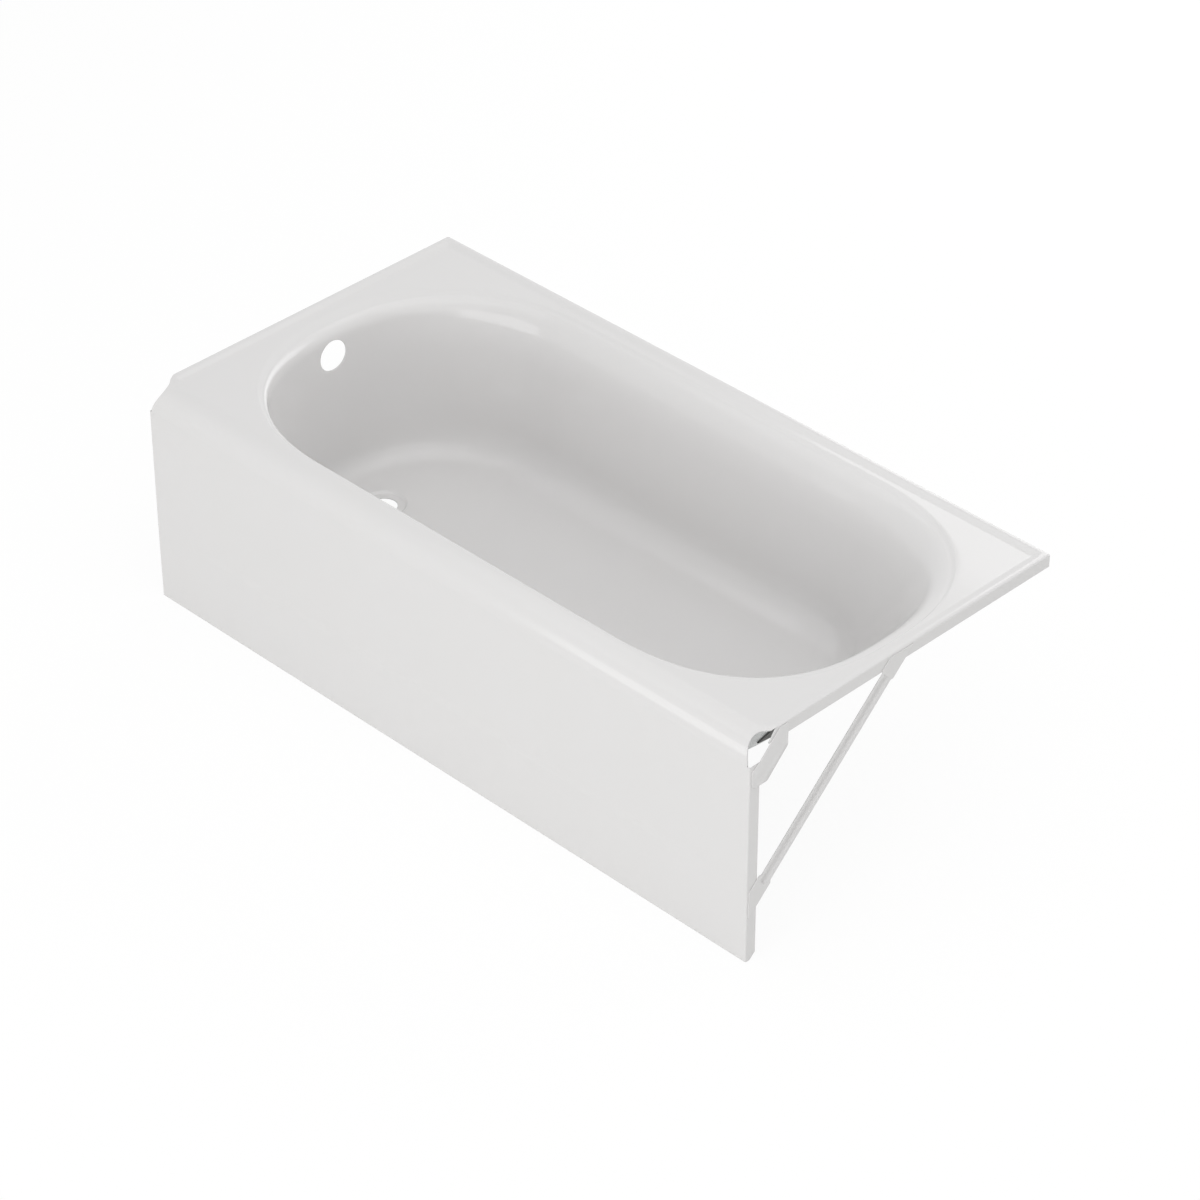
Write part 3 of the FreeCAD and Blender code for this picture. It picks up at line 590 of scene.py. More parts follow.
def shell_side(lines, offset, bore, hole, fine, edge):
    """All rows of one face of the sheet, from the drain's bore out to the edge of the sheet, and
    the row at which the overflow hole's block starts."""
    block = OVERFLOW_DEPTH + (np.arange(HOLE_CELLS + 1) - HOLE_CELLS / 2) * HOLE_CELL
    if fine:
        lip, fillet = np.linspace(0, LIP_TURN, 14), np.linspace(LIP_TURN, 0, 15)
        above = [0.018, 0.0195, 0.021, 0.0225]
        below = [0.0925, 0.0985, 0.108, 0.121, 0.136, 0.153, 0.172, 0.192, 0.212, 0.232, 0.250, 0.265,
                 0.275, 0.284]
        floor = [0.02, 0.06, 0.12, 0.2, 0.32, 0.46, 0.6, 0.74, 0.86, 0.95, 1.0]
        seat = [*np.linspace(SEAT_RADIUS + 0.003, SEAT_RADIUS - 0.003, 7), 0.034, bore + 0.0015]
        dish, deck = [0.1, 0.25, 0.4, 0.55, 0.7, 0.85, 1.0], np.arange(1, 12) / 11
        bead_keep, fold_keep = slice(None), slice(None)
    else:
        lip, fillet = [0, 20, 40, 60, LIP_TURN], [LIP_TURN, 63, 42, 21, 0]
        above, below = [0.019, 0.0215], [0.096, 0.120, 0.172, 0.232, 0.277]
        floor, seat = [0.1, 0.4, 0.7, 1.0], [SEAT_RADIUS + 0.002, SEAT_RADIUS - 0.001, 0.034, bore + 0.0015]
        dish, deck = [0.5, 1.0], [0.5, 1.0]
        bead_keep, fold_keep = [1, 4, 7, 10, 11], [1, 3, 4, 6, 8, 10, 11]
    depths = np.concatenate([lip_depths(offset, lip), above, block, below, fillet_depths(offset, fillet)])
    walls = wall_rows(depths, offset, hole, lines)
    floor, circle = floor_rows(walls[-1], floor, SEAT_RADIUS + 0.0045 + offset, seat, offset)
    ring, (rim_x, rim_y, _), share = dish_outline(lines), walls[0].T, column(dish)
    bowl = stacked(mix(rim_x, ring[0], share), mix(rim_y, ring[1], share),
                   DECK_Z - offset - DISH_DEPTH * (1 - smooth(share, 0, 1)))
    lip_z = FLOOR_Z - SEAT_DEPTH - offset
    inwards = edge if offset else -edge
    bore_rows = [stacked(*(OUTLET + radius * circle).T, z)[None]
                 for radius, z in ((bore, lip_z + inwards), (bore + edge, lip_z))]
    rows = np.concatenate([*bore_rows, floor[::-1], walls[::-1], bowl, deck_rows(lines, ring, deck, offset),
                           edge_rows(lines, offset, bead_keep, fold_keep)])
    return rows, len(bore_rows) + len(floor) + len(below) + len(fillet)


def shell_mesh(sheet, bore, overflow, edge):
    """The closed shell: the rows of the face, two rows round the sheet's edge, and the rows of the
    underside back to the drain's bore. The block of cells at the overflow is left out, and its two
    rims are joined by the hole's wall. Also says which faces are of the bare back."""
    lines = shell_lines()
    count, first = len(lines["targets"]["deck"]), lines["hole"].start
    top, top_block = shell_side(lines, 0.0, bore, overflow + edge, True, edge)
    under, under_block = shell_side(lines, sheet, bore, overflow + edge, False, edge)
    for face in (top, under):
        pull_back(face, mix(edge, FLUSH, lines["targets"]["front"]))
    round_edge = [edge_rows(lines, offset, [], [len(FOLD_SHARES) - 1]) for offset in (edge, sheet - edge)]
    rows = np.concatenate([top, *round_edge, under[::-1]])
    points, faces = rows.reshape(-1, 3), grid_faces(len(rows), count, closed=True)
    slots = np.zeros(faces.shape[:2], dtype=int)
    slots[len(top) + 1:len(rows) - 1] = 1

    keep = np.ones(faces.shape[:2], dtype=bool)
    indices = np.arange(len(points)).reshape(len(rows), count)
    rims = []
    for start in (top_block, len(rows) - 1 - under_block - HOLE_CELLS):
        keep[start:start + HOLE_CELLS, lines["hole"]] = False
        rims.append(perimeter(indices[start:start + HOLE_CELLS + 1, first:first + HOLE_CELLS + 1]))
    # the underside's rows run the other way: its rim is turned round, and starts at the same corner
    rims[1] = np.roll(rims[1][::-1], 1 - HOLE_CELLS)
    faces = outwards(points, faces[keep])

    centre = np.array([OUTLET_Y, OVERFLOW_Z])
    direction = points[rims[0], 1:] - centre
    direction *= overflow / np.linalg.norm(direction, axis=-1, keepdims=True)
    rings = [drain_wall_point(OUTLET_Y + direction[:, 0], OVERFLOW_DEPTH - direction[:, 1], offset)
             for offset in (edge, sheet - edge)]
    size = len(rims[0])
    ring_loops = [len(points) + layer * size + np.arange(size) for layer in range(2)]
    points = np.concatenate([points, *rings])
    collar = bridge([rims[0], *ring_loops, rims[1]])
    # the wall of the hole faces the hole's axis
    a, b, c = (points[collar[:, corner]] for corner in range(3))
    if np.sum(np.cross(b - a, c - a)[:, 1:] * (centre - points[collar].mean(axis=1)[:, 1:])) <= 0:
        collar = collar[:, ::-1]
    slots = np.concatenate([slots[keep], np.zeros(len(collar), dtype=int)])
    return points, np.concatenate([faces, collar]), slots


# ---- apron, gussets and braces ----

def perimeter(indices):
    """Vertex indices round the edge of a grid of them."""
    return np.concatenate([indices[0, :-1], indices[:-1, -1], indices[-1, :0:-1], indices[:0:-1, 0]])


def sheet_solid(outer, inner, edge):
    """Closed sheet from two (rows, columns, 3) faces. Their edges are drawn in by the length given
    for each vertex, and two loops between them make the sheet's edge round. Also says how many
    quads each face has."""
    size = outer[..., 0].size
    loop = perimeter(np.arange(size).reshape(outer.shape[:2]))
    across = inner - outer
    across /= np.linalg.norm(across, axis=-1, keepdims=True)
    edge = edge[..., None]
    drawn = [face.copy() for face in (outer, inner)]
    for face, moved in zip((outer, inner), drawn):
        for rim, beside in ((np.s_[0, :], np.s_[1, :]), (np.s_[-1, :], np.s_[-2, :]),
                            (np.s_[:, 0], np.s_[:, 1]), (np.s_[:, -1], np.s_[:, -2])):
            step = face[rim] - face[beside]
            moved[rim] -= step / np.maximum(np.linalg.norm(step, axis=-1, keepdims=True), 1e-9) * edge[rim]
    between = [face.reshape(-1, 3)[loop] for face in (outer + across * edge, inner - across * edge)]
    points = np.concatenate([face.reshape(-1, 3) for face in drawn] + between)
    faces = grid_faces(*outer.shape[:2]).reshape(-1, 4)
    loops = [size + loop, 2 * size + len(loop) + np.arange(len(loop)), 2 * size + np.arange(len(loop)), loop]
    return points, outwards(points, np.concatenate([faces, faces[:, ::-1] + size, bridge(loops)])), len(faces)


def apron_section(z, along, crease_step):
    """How far the apron face is set back. Above the crease it leans back by smoothstep, over the
    crease's band it comes forward again, and below it leans back to the foot. The crease dies out
    towards both ends."""
    height, band, fade = 0.158, 0.016, 0.200
    crease = smooth(along, -0.650, -0.520) * (1.0 - smooth(along, 0.600, 0.700))
    above = 1.0 - smooth(z, height + band / 2, height + band / 2 + fade)
    over_band = smooth(z, height - band / 2, height + band / 2)
    below = np.clip((height - band / 2 - z) / (height - band / 2), 0.0, 1.0)
    return crease_step * (crease * above * over_band + below)


def apron_mesh(sheet, crease_step, edge):
    """Front skin and returns: a path in plan, from one return's rear edge round a small bend and
    along the face to the other return, carried up in z. The returns' feet are cut off. The hem is a
    second sheet along the foot."""
    chamfer_y, chamfer_z = 0.014, 0.012
    z = column([0.0, 0.004, 0.008, *np.linspace(0.012, 0.140, 15), *np.linspace(0.144, 0.172, 15),
                *np.linspace(0.182, 0.405, 26), 0.412, SEAM_Z - 0.0002, SEAM_Z])
    depth = RETURN_DEPTH - chamfer_y * (1.0 - np.clip(z / chamfer_z, 0.0, 1.0))
    turn = np.radians(np.linspace(90, 0, 7))
    face = np.linspace(-END + BEND, END - BEND, 121)[1:-1]

    def surface(offset):
        """One face of the skin, moved into the sheet by offset: x and y follow the path, z goes up."""
        inner = BEND - offset
        rear = stacked(-END + offset, mix(BEND, depth, np.linspace(1.0, 0.0, 6)[:-1]))
        bend = stacked(-END + BEND - inner * np.sin(turn), BEND - inner * np.cos(turn) + 0 * z)
        left = np.concatenate([rear, bend], axis=1)
        plan = np.concatenate([left, stacked(face, offset + 0 * z), left[:, ::-1] * [-1, 1]], axis=1)
        x, y = plan[..., 0], plan[..., 1]
        set_back = apron_section(z, x, crease_step) * (1.0 - smooth(y, 0.0, chamfer_z))
        return stacked(x, FRONT + y + set_back, z)

    outer = surface(0.0)
    edges = np.full(outer.shape[:2], edge)
    edges[-1] = FLUSH
    points, faces, skin = sheet_solid(outer, surface(sheet), edges)

    along = np.linspace(-1.0, 1.0, 80)
    hem_depth = np.minimum(0.020, RETURN_DEPTH - chamfer_y + (1.0 - np.abs(along)) * END)
    hem_y = mix(0.0022, hem_depth, column(np.linspace(0.0016, 1.0, 6)))
    low = stacked(along * (END - sheet * 0.6), FRONT + hem_y, 0.0)
    hem_points, hem_faces, _ = sheet_solid(low, low + [0.0, 0.0, sheet], np.full(hem_y.shape, edge))
    faces = np.concatenate([faces, hem_faces + len(points)])
    slots = np.zeros(len(faces), dtype=int)
    slots[skin:2 * skin] = 1
    return np.concatenate([points, hem_points]), faces, slots


def rounded_polygon(corners, radius):
    """Closed path with each corner replaced by an arc-like curve between two points at the given
    distance along its sides: the quadratic (1-t)^2 a + 2t(1-t) corner + t^2 b."""
    corners = np.asarray(corners)
    to_before, to_after = (np.roll(corners, step, axis=0) - corners for step in (1, -1))
    start, end = (corners + side * np.minimum(radius / np.linalg.norm(side, axis=1, keepdims=True), 0.45)
                  for side in (to_before, to_after))
    t = np.linspace(0.0, 1.0, 5)[:, None]
    curves = (1 - t) ** 2 * start[:, None] + 2 * t * (1 - t) * corners[:, None] + t ** 2 * end[:, None]
    return curves.reshape(-1, 2)


def drawn_in(path, amount):
    """A closed path moved inwards along its own normals."""
    after, before = np.roll(path, -1, axis=0), np.roll(path, 1, axis=0)
    tangent = (after - before) / np.linalg.norm(after - before, axis=1, keepdims=True)
    area = np.sum(path[:, 0] * after[:, 1] - after[:, 0] * path[:, 1])
    return path + stacked(-tangent[:, 1], tangent[:, 0]) * amount * np.sign(area)


def gusset_mesh(side, sheet, edge):
    """Flat plate: its outline in (behind, up), carried through the sheet's thickness with the edges
    drawn in, and closed by two flat caps."""
    corners = [(EDGE_GAP, 0.063), (0.022, 0.051), (0.069, EDGE_GAP), (0.090, EDGE_GAP), (0.090, 0.050),
               (0.041, 0.099), (0.011, 0.099), (EDGE_GAP, 0.092)]
    path = rounded_polygon([(behind, BATH_HIGH[2] - drop) for behind, drop in corners], 0.003)
    small = drawn_in(path, edge)
    layers = ((small, 0.0), (path, edge), (path, sheet - edge), (small, sheet))
    points = np.concatenate([stacked(side * (END + out), FRONT + line[:, 0], line[:, 1])
                             for line, out in layers])
    loops = np.arange(len(points)).reshape(4, -1)
    return points, bridge(loops), [loops[0][::-1], loops[-1]]


def brace_mesh(side, angle, sheet, edge):
    """Pressed strip on a grid of u along it and v across it. Its half-width eases from the spades
    to the strip by smoothstep, both ends are cut along the bath's own edges, and the channel's
    depth is the product of a smoothstep across it and one towards each of its ends."""
    sin, cos = math.sin(angle), math.cos(angle)
    behind, up = RETURN_DEPTH, BATH_HIGH[2] - BRACE_DROP
    crossing = (BRACE_DROP - FLANGE_DROP) / sin
    start, end = (EDGE_GAP - behind) / cos, (BATH_HIGH[2] - EDGE_GAP - up) / sin
    low, high, shoulder = 0.024, crossing - 0.016, 0.005
    spade, strip, channel = 0.0205, 0.016, 0.0055   # the two half-widths and the channel's depth
    u = column([*np.linspace(start, low - 0.001, 24), *np.linspace(low, low + shoulder, 7),
                *np.linspace(low + shoulder, high - shoulder, 71)[1:-1],
                *np.linspace(high - shoulder, high, 7), *np.linspace(high + 0.001, end, 20)])
    across = np.array([-1.0, -0.96, -0.88, -0.78, *np.linspace(-0.70, 0.70, 25), 0.78, 0.88, 0.96, 1.0])
    v = mix(spade, strip, smooth(u, low, low + shoulder) * (1 - smooth(u, high - shoulder, high))) * across
    at_foot, at_head = 1 - smooth(u, start, start + 0.030), smooth(u, end - 0.035, end)
    along = u + v * (at_foot * sin / cos - at_head * cos / sin)
    press = (1 - smooth(np.abs(v), 0.0068, 0.0098)) * smooth(along, 0.014, 0.020)
    press *= 1 - smooth(along, crossing - 0.024, crossing - 0.018)
    out = END + sheet - channel * press
    y, z = FRONT + behind + along * cos - v * sin, up + along * sin + v * cos
    points, faces, _ = sheet_solid(stacked(out, y, z), stacked(out - sheet, y, z), np.full(y.shape, edge))
    return points * [side, 1, 1], faces


# ---- materials ----

def linear(code):
    """sRGB hex to a linear RGBA colour: each channel is ((c + 0.055) / 1.055) ^ 2.4, or c / 12.92
    near black."""
    channels = [int(code[i:i + 2], 16) / 255 for i in (1, 3, 5)]
    return tuple(c / 12.92 if c <= 0.04045 else ((c + 0.055) / 1.055) ** 2.4 for c in channels) + (1.0,)


def add_node(tree, kind, inputs=None, links=None, **settings):
    """Adds a node with its settings, its input values and its links from (node, output) pairs."""
    node = tree.nodes.new(kind)
    for name, value in settings.items():
        setattr(node, name, value)
    for socket, value in (inputs or {}).items():
        node.inputs[socket].default_value = value
    for socket, (source, output) in (links or {}).items():
        tree.links.new(source.outputs[output], node.inputs[socket])
    return node


def new_material(name):
    """A material without nodes, and its tree."""
    material = bpy.data.materials.new(name)
    material.use_nodes = True
    material.node_tree.nodes.clear()
    return material, material.node_tree


def texture(tree, kind, size, inputs=None, **settings):
    """Texture in object coordinates, whose features are about as large as size."""
    place = tree.nodes.get("Texture Coordinate") or add_node(tree, "ShaderNodeTexCoord")
    return add_node(tree, "ShaderNodeTex" + kind, {"Scale": 1 / size, **(inputs or {})},
                    {"Vector": (place, "Object")}, **settings)


def spread(tree, value, low, high, start=0.0, end=1.0):
    """Carries a value's range from low to high over to one from start to end."""
    limits = {"From Min": low, "From Max": high, "To Min": start, "To Max": end}
    return add_node(tree, "ShaderNodeMapRange", limits, {"Value": value}), "Result"


def blend(tree, first, second, share):
    """Mix of two colours. second may be another node's output."""
    inputs, links = {"A": tuple(first[:3]) + (1.0,)}, {"Factor": share}
    if isinstance(second[0], bpy.types.Node):
        links["B"] = second
    else:
        inputs["B"] = tuple(second[:3]) + (1.0,)
    return add_node(tree, "ShaderNodeMix", inputs, links, data_type="RGBA"), "Result"


def surfaced(material, tree, tint, ior, roughness, height, strength, distance):
    """Ends a material: one coat over a bump. roughness is a value or another node's output."""
    bump = add_node(tree, "ShaderNodeBump", {"Strength": strength, "Distance": distance}, {"Height": height})
    inputs, links = {"IOR": ior, "Metallic": 0.0}, {"Base Color": tint, "Normal": (bump, "Normal")}
    (links if isinstance(roughness, tuple) else inputs)["Roughness"] = roughness
    surface = add_node(tree, "ShaderNodeBsdfPrincipled", inputs, links)
    add_node(tree, "ShaderNodeOutputMaterial", links={"Surface": (surface, "BSDF")})
    return material


def porcelain_enamel(name, colours):
    """White porcelain enamel on steel: glass fused to the sheet. A hard, glossy coat that flowed in
    the kiln, so it has a very faint orange peel about 9 mm across and no grain."""
    material, tree = new_material(name)
    peel = texture(tree, "Noise", 0.009, {"Detail": 1.5, "Roughness": 0.45})
    cloud = texture(tree, "Noise", 0.180, {"Detail": 2.0, "Roughness": 0.5}), "Fac"
    tint = blend(tree, colours.enamel, colours.enamel_shade, cloud)
    gloss = spread(tree, cloud, 0.3, 0.7, 0.09, 0.12)
    return surfaced(material, tree, tint, 1.52, gloss, (peel, "Fac"), 0.05, 0.0004)


def ground_coat(name, colours):
    """Ground coat: the thin first enamel left bare on the back of the sheet. Duller than the face,
    with fine speckles of about 1.5 mm where the frit fired unevenly."""
    material, tree = new_material(name)
    speck = texture(tree, "Noise", 0.0015, {"Detail": 2.0, "Roughness": 0.6}), "Fac"
    tint = blend(tree, colours.ground_coat, colours.ground_speck, spread(tree, speck, 0.56, 0.70))
    return surfaced(material, tree, tint, 1.52, 0.38, speck, 0.12, 0.0003)


def bitumen_sheet(name, colours):
    """Bitumen damping sheet: rolled and matt, with mineral grains of about 2 mm pressed into it."""
    material, tree = new_material(name)
    grain = texture(tree, "Voronoi", 0.002, feature="F1")
    cloud = texture(tree, "Noise", 0.040, {"Detail": 3.0})
    tint = blend(tree, colours.bitumen, linear("#62615E"), (cloud, "Fac"))
    return surfaced(material, tree, tint, 1.6, 0.78, (grain, "Distance"), 0.5, 0.0005)


def bead_foam(name, colours):
    """Expanded polystyrene, moulded: beads of about 4 mm welded together, flattened at the skin,
    with fine grooves round each bead. The grooves are tinted a darker grey: painted shade."""
    material, tree = new_material(name)
    cells = texture(tree, "Voronoi", 0.004, feature="DISTANCE_TO_EDGE")
    beads = texture(tree, "Voronoi", 0.004, feature="F1")
    groove_and_painted_shade = spread(tree, (cells, "Distance"), 0.0, 0.12)
    tone = add_node(tree, "ShaderNodeSeparateColor", links={"Color": (beads, "Color")})
    soft = blend(tree, colours.foam, linear("#E4E6E8"), (tone, "Red"))
    # painted shade: the grooves between the beads are tinted the darker grey #C9CCCF, and the same mask
    # drives the bump
    tint = blend(tree, linear("#C9CCCF"), soft, groove_and_painted_shade)
    return surfaced(material, tree, tint, 1.45, 0.62, groove_and_painted_shade, 0.4, 0.0004)


def seen_directly(tree):
    """1 on rays of the camera and of reflections and refractions, 0 on those that carry light."""
    path = add_node(tree, "ShaderNodeLightPath")
    seen = add_node(tree, "ShaderNodeMath", links={0: (path, "Is Camera Ray"), 1: (path, "Is Glossy Ray")},
                    operation="MAXIMUM")
    return add_node(tree, "ShaderNodeMath", links={0: (seen, "Value"), 1: (path, "Is Transmission Ray")},
                    operation="MAXIMUM"), "Value"


def studio_floor():
    """Pale floor that the camera, and the enamel's reflections, see as a white ground. A tenth of it
    stays paint that the light falls on, so that it keeps the bath's shadow."""
    material, tree = new_material("studio_floor")
    paint = add_node(tree, "ShaderNodeBsdfDiffuse", {"Color": linear("#F4F4F3")})
    white = add_node(tree, "ShaderNodeEmission", {"Color": (1, 1, 1, 1), "Strength": 1.02})
    share = add_node(tree, "ShaderNodeMath", {1: FLOOR_WHITE}, {0: seen_directly(tree)}, operation="MULTIPLY")
    surface = add_node(tree, "ShaderNodeMixShader",
                       links={0: (share, "Value"), 1: (paint, "BSDF"), 2: (white, "Emission")})
    add_node(tree, "ShaderNodeOutputMaterial", links={"Surface": (surface, "Shader")})
    return material


FINISHES = {"porcelain_enamel_white": porcelain_enamel, "ground_coat_enamel": ground_coat,
            "bitumen_damping_sheet": bitumen_sheet, "expanded_polystyrene": bead_foam}


def finish(name, colours):
    """The named finish, made on first use, so that like pieces share it."""
    return bpy.data.materials.get(name) or FINISHES[name](name, colours)


def sheet_finishes(colours):
    """Finishes of the sheet's face and of its bare back, in the order of the slots."""
    return [finish(name, colours) for name in ("porcelain_enamel_white", "ground_coat_enamel")]


# ---- properties ----

def length(name, description, default, low, high):
    """Property for a length in metres, between two limits."""
    return FloatProperty(name=name, description=description, default=default, min=low, max=high,
                         unit="LENGTH", subtype="DISTANCE", precision=4)


def colour(name, description, code):
    """Property for a colour, given as sRGB hex."""
    return FloatVectorProperty(name=name, description=description, subtype="COLOR", size=3, min=0.0, max=1.0,
                               default=linear(code)[:3])


def power(name, description, default):
    """Property for a lamp's power in watts."""
    return FloatProperty(name=name, description=description, default=default, min=0.0, unit="POWER",
                         subtype="POWER")


class BathtubSizes(bpy.types.PropertyGroup):
    """Sizes of the enamelled sheet and its holes."""

    shell_wall: length("Shell Sheet", "Thickness of the enamelled shell", 0.0025, 0.001, 0.0029)
    apron_wall: length("Apron Sheet", "Thickness of the apron", 0.002, 0.001, 0.0028)
    edge_round: length("Edge Rounding", "How far the enamel rounds the sheet's edges", 0.0005, 0.0001, 0.0009)
    crease_step: length("Apron Crease", "Set-back of the apron face at its crease", 0.0012, 0.0, 0.0016)
    drain_bore: length("Drain Hole", "Diameter of the drain hole", 0.052, 0.030, 0.060)
    overflow_bore: length("Overflow Hole", "Diameter of the overflow hole", 0.0635, 0.040, 0.066)


class BathtubColours(bpy.types.PropertyGroup):
    """Colours of the finishes."""

    enamel: colour("Enamel", "White porcelain enamel", "#E5E4E4")
    enamel_shade: colour("Enamel Shade", "Where the enamel lies a little thinner", "#E4E3E2")
    ground_coat: colour("Ground Coat", "Bare back of the sheet", "#D6D8D7")
    ground_speck: colour("Ground Speckle", "Speckles in the ground coat", "#B4B8B8")
    bitumen: colour("Damping Sheet", "Bitumen damping sheet", "#555453")
    foam: colour("Foam", "Foam of the bearers", "#F3F4F5")


class StudioSettings(bpy.types.PropertyGroup):
    """Camera and light."""

    lens: FloatProperty(name="Lens", description="Focal length on a 36 mm sensor", default=128.9, min=35.0,
                        max=300.0, subtype="DISTANCE_CAMERA", unit="CAMERA")
    front_power: power("Front Light", "Power of the low soft light before the apron", 68.0)
    side_power: power("Side Light", "Power of the high soft light to the right", 70.0)
    back_power: power("Back Light", "Power of the wide low light behind the bath", 98.0)
    top_power: power("Top Light", "Power of the soft light overhead", 37.0)
    world_strength: FloatProperty(name="Surround", description="Strength of the even light from all sides",
                                  default=0.450, min=0.0, max=3.0)


# ---- operators ----

def settle(piece, *nodes):
    """The piece stands for its CAD nodes, which are hidden, and hangs from the root body."""
    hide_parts(*nodes)
    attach(piece, "root")


class BATHTUB_OT_shell(bpy.types.Operator):
    """Make the enamelled shell: basin, deck, bead, roll, flanges, drain seat and overflow hole"""

    bl_idname = "bathtub.shell"
    bl_label = "Shell"

    def execute(self, context):
        sizes, colours = context.scene.bathtub_sizes, context.scene.bathtub_colours
        points, faces, slots = shell_mesh(sizes.shell_wall, sizes.drain_bore / 2, sizes.overflow_bore / 2,
                                          sizes.edge_round)
        piece = make_piece("enamelled_shell", points, faces, sheet_finishes(colours), slots)
        settle(piece, "bath_shell")
        return {"FINISHED"}


class BATHTUB_OT_apron(bpy.types.Operator):
    """Make the apron: creased face, returns at both ends and the hem at its foot"""

    bl_idname = "bathtub.apron"
    bl_label = "Apron"

    def execute(self, context):
        sizes, colours = context.scene.bathtub_sizes, context.scene.bathtub_colours
        points, faces, slots = apron_mesh(sizes.apron_wall, sizes.crease_step, sizes.edge_round)
        piece = make_piece("enamelled_apron", points, faces, sheet_finishes(colours), slots)
        settle(piece, "apron_panel")
        return {"FINISHED"}


class BATHTUB_OT_gussets(bpy.types.Operator):
    """Make the two corner gussets"""

    bl_idname = "bathtub.gussets"
    bl_label = "Corner Gussets"

    def execute(self, context):
        sizes, colours = context.scene.bathtub_sizes, context.scene.bathtub_colours
        for side, hand in ((-1, "left"), (1, "right")):
            points, faces, caps = gusset_mesh(side, BRACKET_WALL, sizes.edge_round)
            piece = make_piece("gusset_" + hand, points, faces, sheet_finishes(colours)[:1], caps=caps)
            settle(piece, "corner_gusset_" + hand)
        return {"FINISHED"}


class BATHTUB_OT_braces(bpy.types.Operator):
    """Make the two pressed diagonal braces"""

    bl_idname = "bathtub.braces"
    bl_label = "End Braces"

    def execute(self, context):
        sizes, colours = context.scene.bathtub_sizes, context.scene.bathtub_colours
        for side, hand, angle in ((-1, "left", 46.0), (1, "right", 43.0)):
            points, faces = brace_mesh(side, math.radians(angle), BRACKET_WALL, sizes.edge_round)
            piece = make_piece("brace_" + hand, points, faces, sheet_finishes(colours)[:1])
            settle(piece, "end_brace_" + hand)
        return {"FINISHED"}


class BATHTUB_OT_underside(bpy.types.Operator):
    """Finish the damping sheets and the foam bearers under the basin"""

    bl_idname = "bathtub.underside"
    bl_label = "Damping Sheets and Bearers"

    def execute(self, context):
        colours = context.scene.bathtub_colours
        for name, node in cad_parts.items():
            if name.startswith(("damping_pad", "bearer")):
                material = "expanded_polystyrene" if name.startswith("bearer") else "bitumen_damping_sheet"
                for slot in node.material_slots:
                    slot.material = finish(material, colours)
        return {"FINISHED"}


def add_light(name, azimuth, elevation, distance, size, power):
    """Area light facing the bath. azimuth goes from the apron's side towards the head end."""
    azimuth, elevation = math.radians(azimuth), math.radians(elevation)
    away = Vector((math.sin(azimuth) * math.cos(elevation), -math.cos(azimuth) * math.cos(elevation),
                   math.sin(elevation)))
    data = bpy.data.lights.new(name, "AREA")
    data.shape = "RECTANGLE"
    data.size, data.size_y = size
    data.energy = power
    light = bpy.data.objects.new(name, data)
    light.location = Vector(LIGHTS_AIM) + away * distance
    light.rotation_euler = (-away).to_track_quat("-Z", "Y").to_euler()
    bpy.context.scene.collection.objects.link(light)


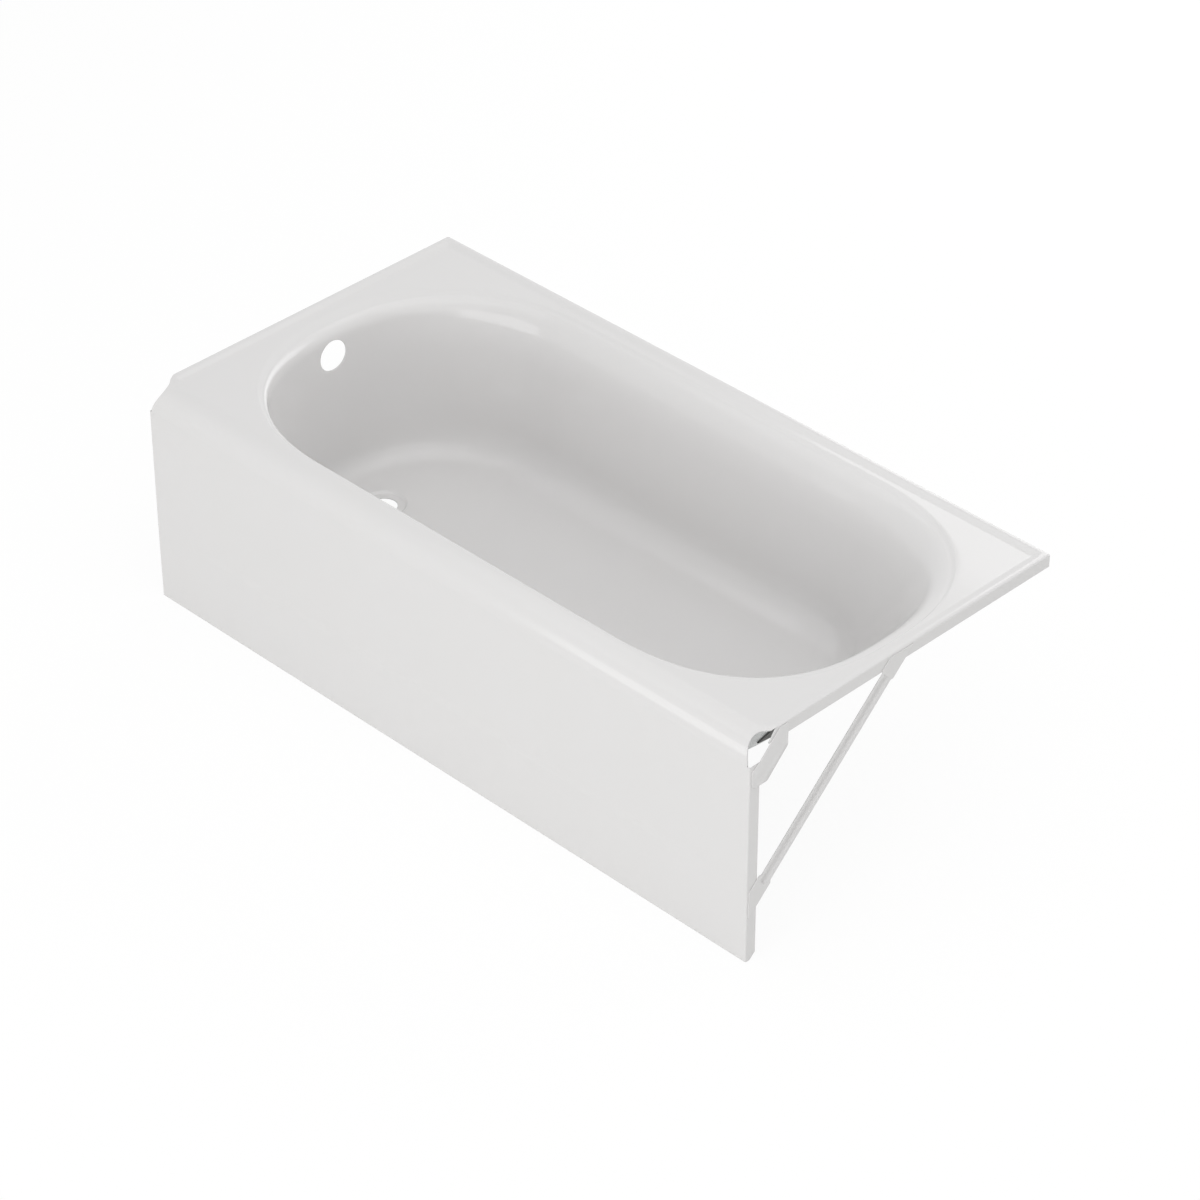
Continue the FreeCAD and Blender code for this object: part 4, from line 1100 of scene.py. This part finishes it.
class BATHTUB_OT_stage(bpy.types.Operator):
    """Set up the floor, the soft light and the camera"""

    bl_idname = "bathtub.stage"
    bl_label = "Stage"

    def execute(self, context):
        scene = context.scene
        studio = scene.bathtub_studio
        scene.view_settings.view_transform = "Standard"
        floor = bpy.data.meshes.new("floor")
        corners = [(x * FLOOR_SPAN, y * FLOOR_SPAN, 0) for x, y in ((-1, -1), (1, -1), (1, 1), (-1, 1))]
        floor.from_pydata(corners, [], [(0, 1, 2, 3)])
        floor.materials.append(studio_floor())
        floor_object = bpy.data.objects.new("floor", floor)
        scene.collection.objects.link(floor_object)

        world = bpy.data.worlds.new("studio")
        world.use_nodes = True
        tree = world.node_tree
        tree.nodes.clear()
        even, white = (add_node(tree, "ShaderNodeBackground", {"Color": (1, 1, 1, 1), "Strength": strength})
                       for strength in (studio.world_strength, 1.0))
        both = add_node(tree, "ShaderNodeMixShader",
                        links={0: seen_directly(tree), 1: (even, "Background"), 2: (white, "Background")})
        add_node(tree, "ShaderNodeOutputWorld", links={"Surface": (both, "Shader")})
        scene.world = world

        add_light("front_light", 0, 12, 5.0, (6.0, 2.5), studio.front_power)
        add_light("side_light", 52, 46, 5.0, (7.0, 7.0), studio.side_power)
        add_light("back_light", 180, 24, 5.0, (6.0, 3.4), studio.back_power)
        add_light("top_light", 0, 89.9, 3.5, (5.0, 5.0), studio.top_power)

        camera_data = bpy.data.cameras.new("camera")
        camera_data.lens = studio.lens
        camera_data.sensor_width = 36.0
        camera = bpy.data.objects.new("camera", camera_data)
        camera.location = CAMERA_PLACE
        camera.rotation_euler = Vector(CAMERA_AIM).to_track_quat("-Z", "Y").to_euler()
        scene.collection.objects.link(camera)
        scene.camera = camera
        return {"FINISHED"}


class BATHTUB_PT_panel(bpy.types.Panel):
    """Sizes, colours and steps of the bathtub"""

    bl_label = "Bathtub"
    bl_idname = "BATHTUB_PT_panel"
    bl_space_type = "VIEW_3D"
    bl_region_type = "UI"
    bl_category = "Bathtub"

    def draw(self, context):
        scene = context.scene
        for group in (scene.bathtub_sizes, scene.bathtub_colours, scene.bathtub_studio):
            box = self.layout.box()
            for name in group.__annotations__:
                box.prop(group, name)
        for operator in STEPS:
            self.layout.operator(operator.bl_idname)


STEPS = (BATHTUB_OT_shell, BATHTUB_OT_apron, BATHTUB_OT_gussets, BATHTUB_OT_braces, BATHTUB_OT_underside,
         BATHTUB_OT_stage)
CLASSES = (BathtubSizes, BathtubColours, StudioSettings) + STEPS + (BATHTUB_PT_panel,)


def register():
    """Registers the classes and gives the scene its settings."""
    for cls in CLASSES:
        bpy.utils.register_class(cls)
    bpy.types.Scene.bathtub_sizes = PointerProperty(type=BathtubSizes)
    bpy.types.Scene.bathtub_colours = PointerProperty(type=BathtubColours)
    bpy.types.Scene.bathtub_studio = PointerProperty(type=StudioSettings)


def unregister():
    """Takes the settings and the classes away again."""
    del bpy.types.Scene.bathtub_sizes, bpy.types.Scene.bathtub_colours, bpy.types.Scene.bathtub_studio
    for cls in reversed(CLASSES):
        bpy.utils.unregister_class(cls)


def main():
    """Builds the bath and its stage."""
    register()
    bpy.ops.bathtub.shell()
    bpy.ops.bathtub.apron()
    bpy.ops.bathtub.gussets()
    bpy.ops.bathtub.braces()
    bpy.ops.bathtub.underside()
    bpy.ops.bathtub.stage()


if __name__ == "__main__":
    main()
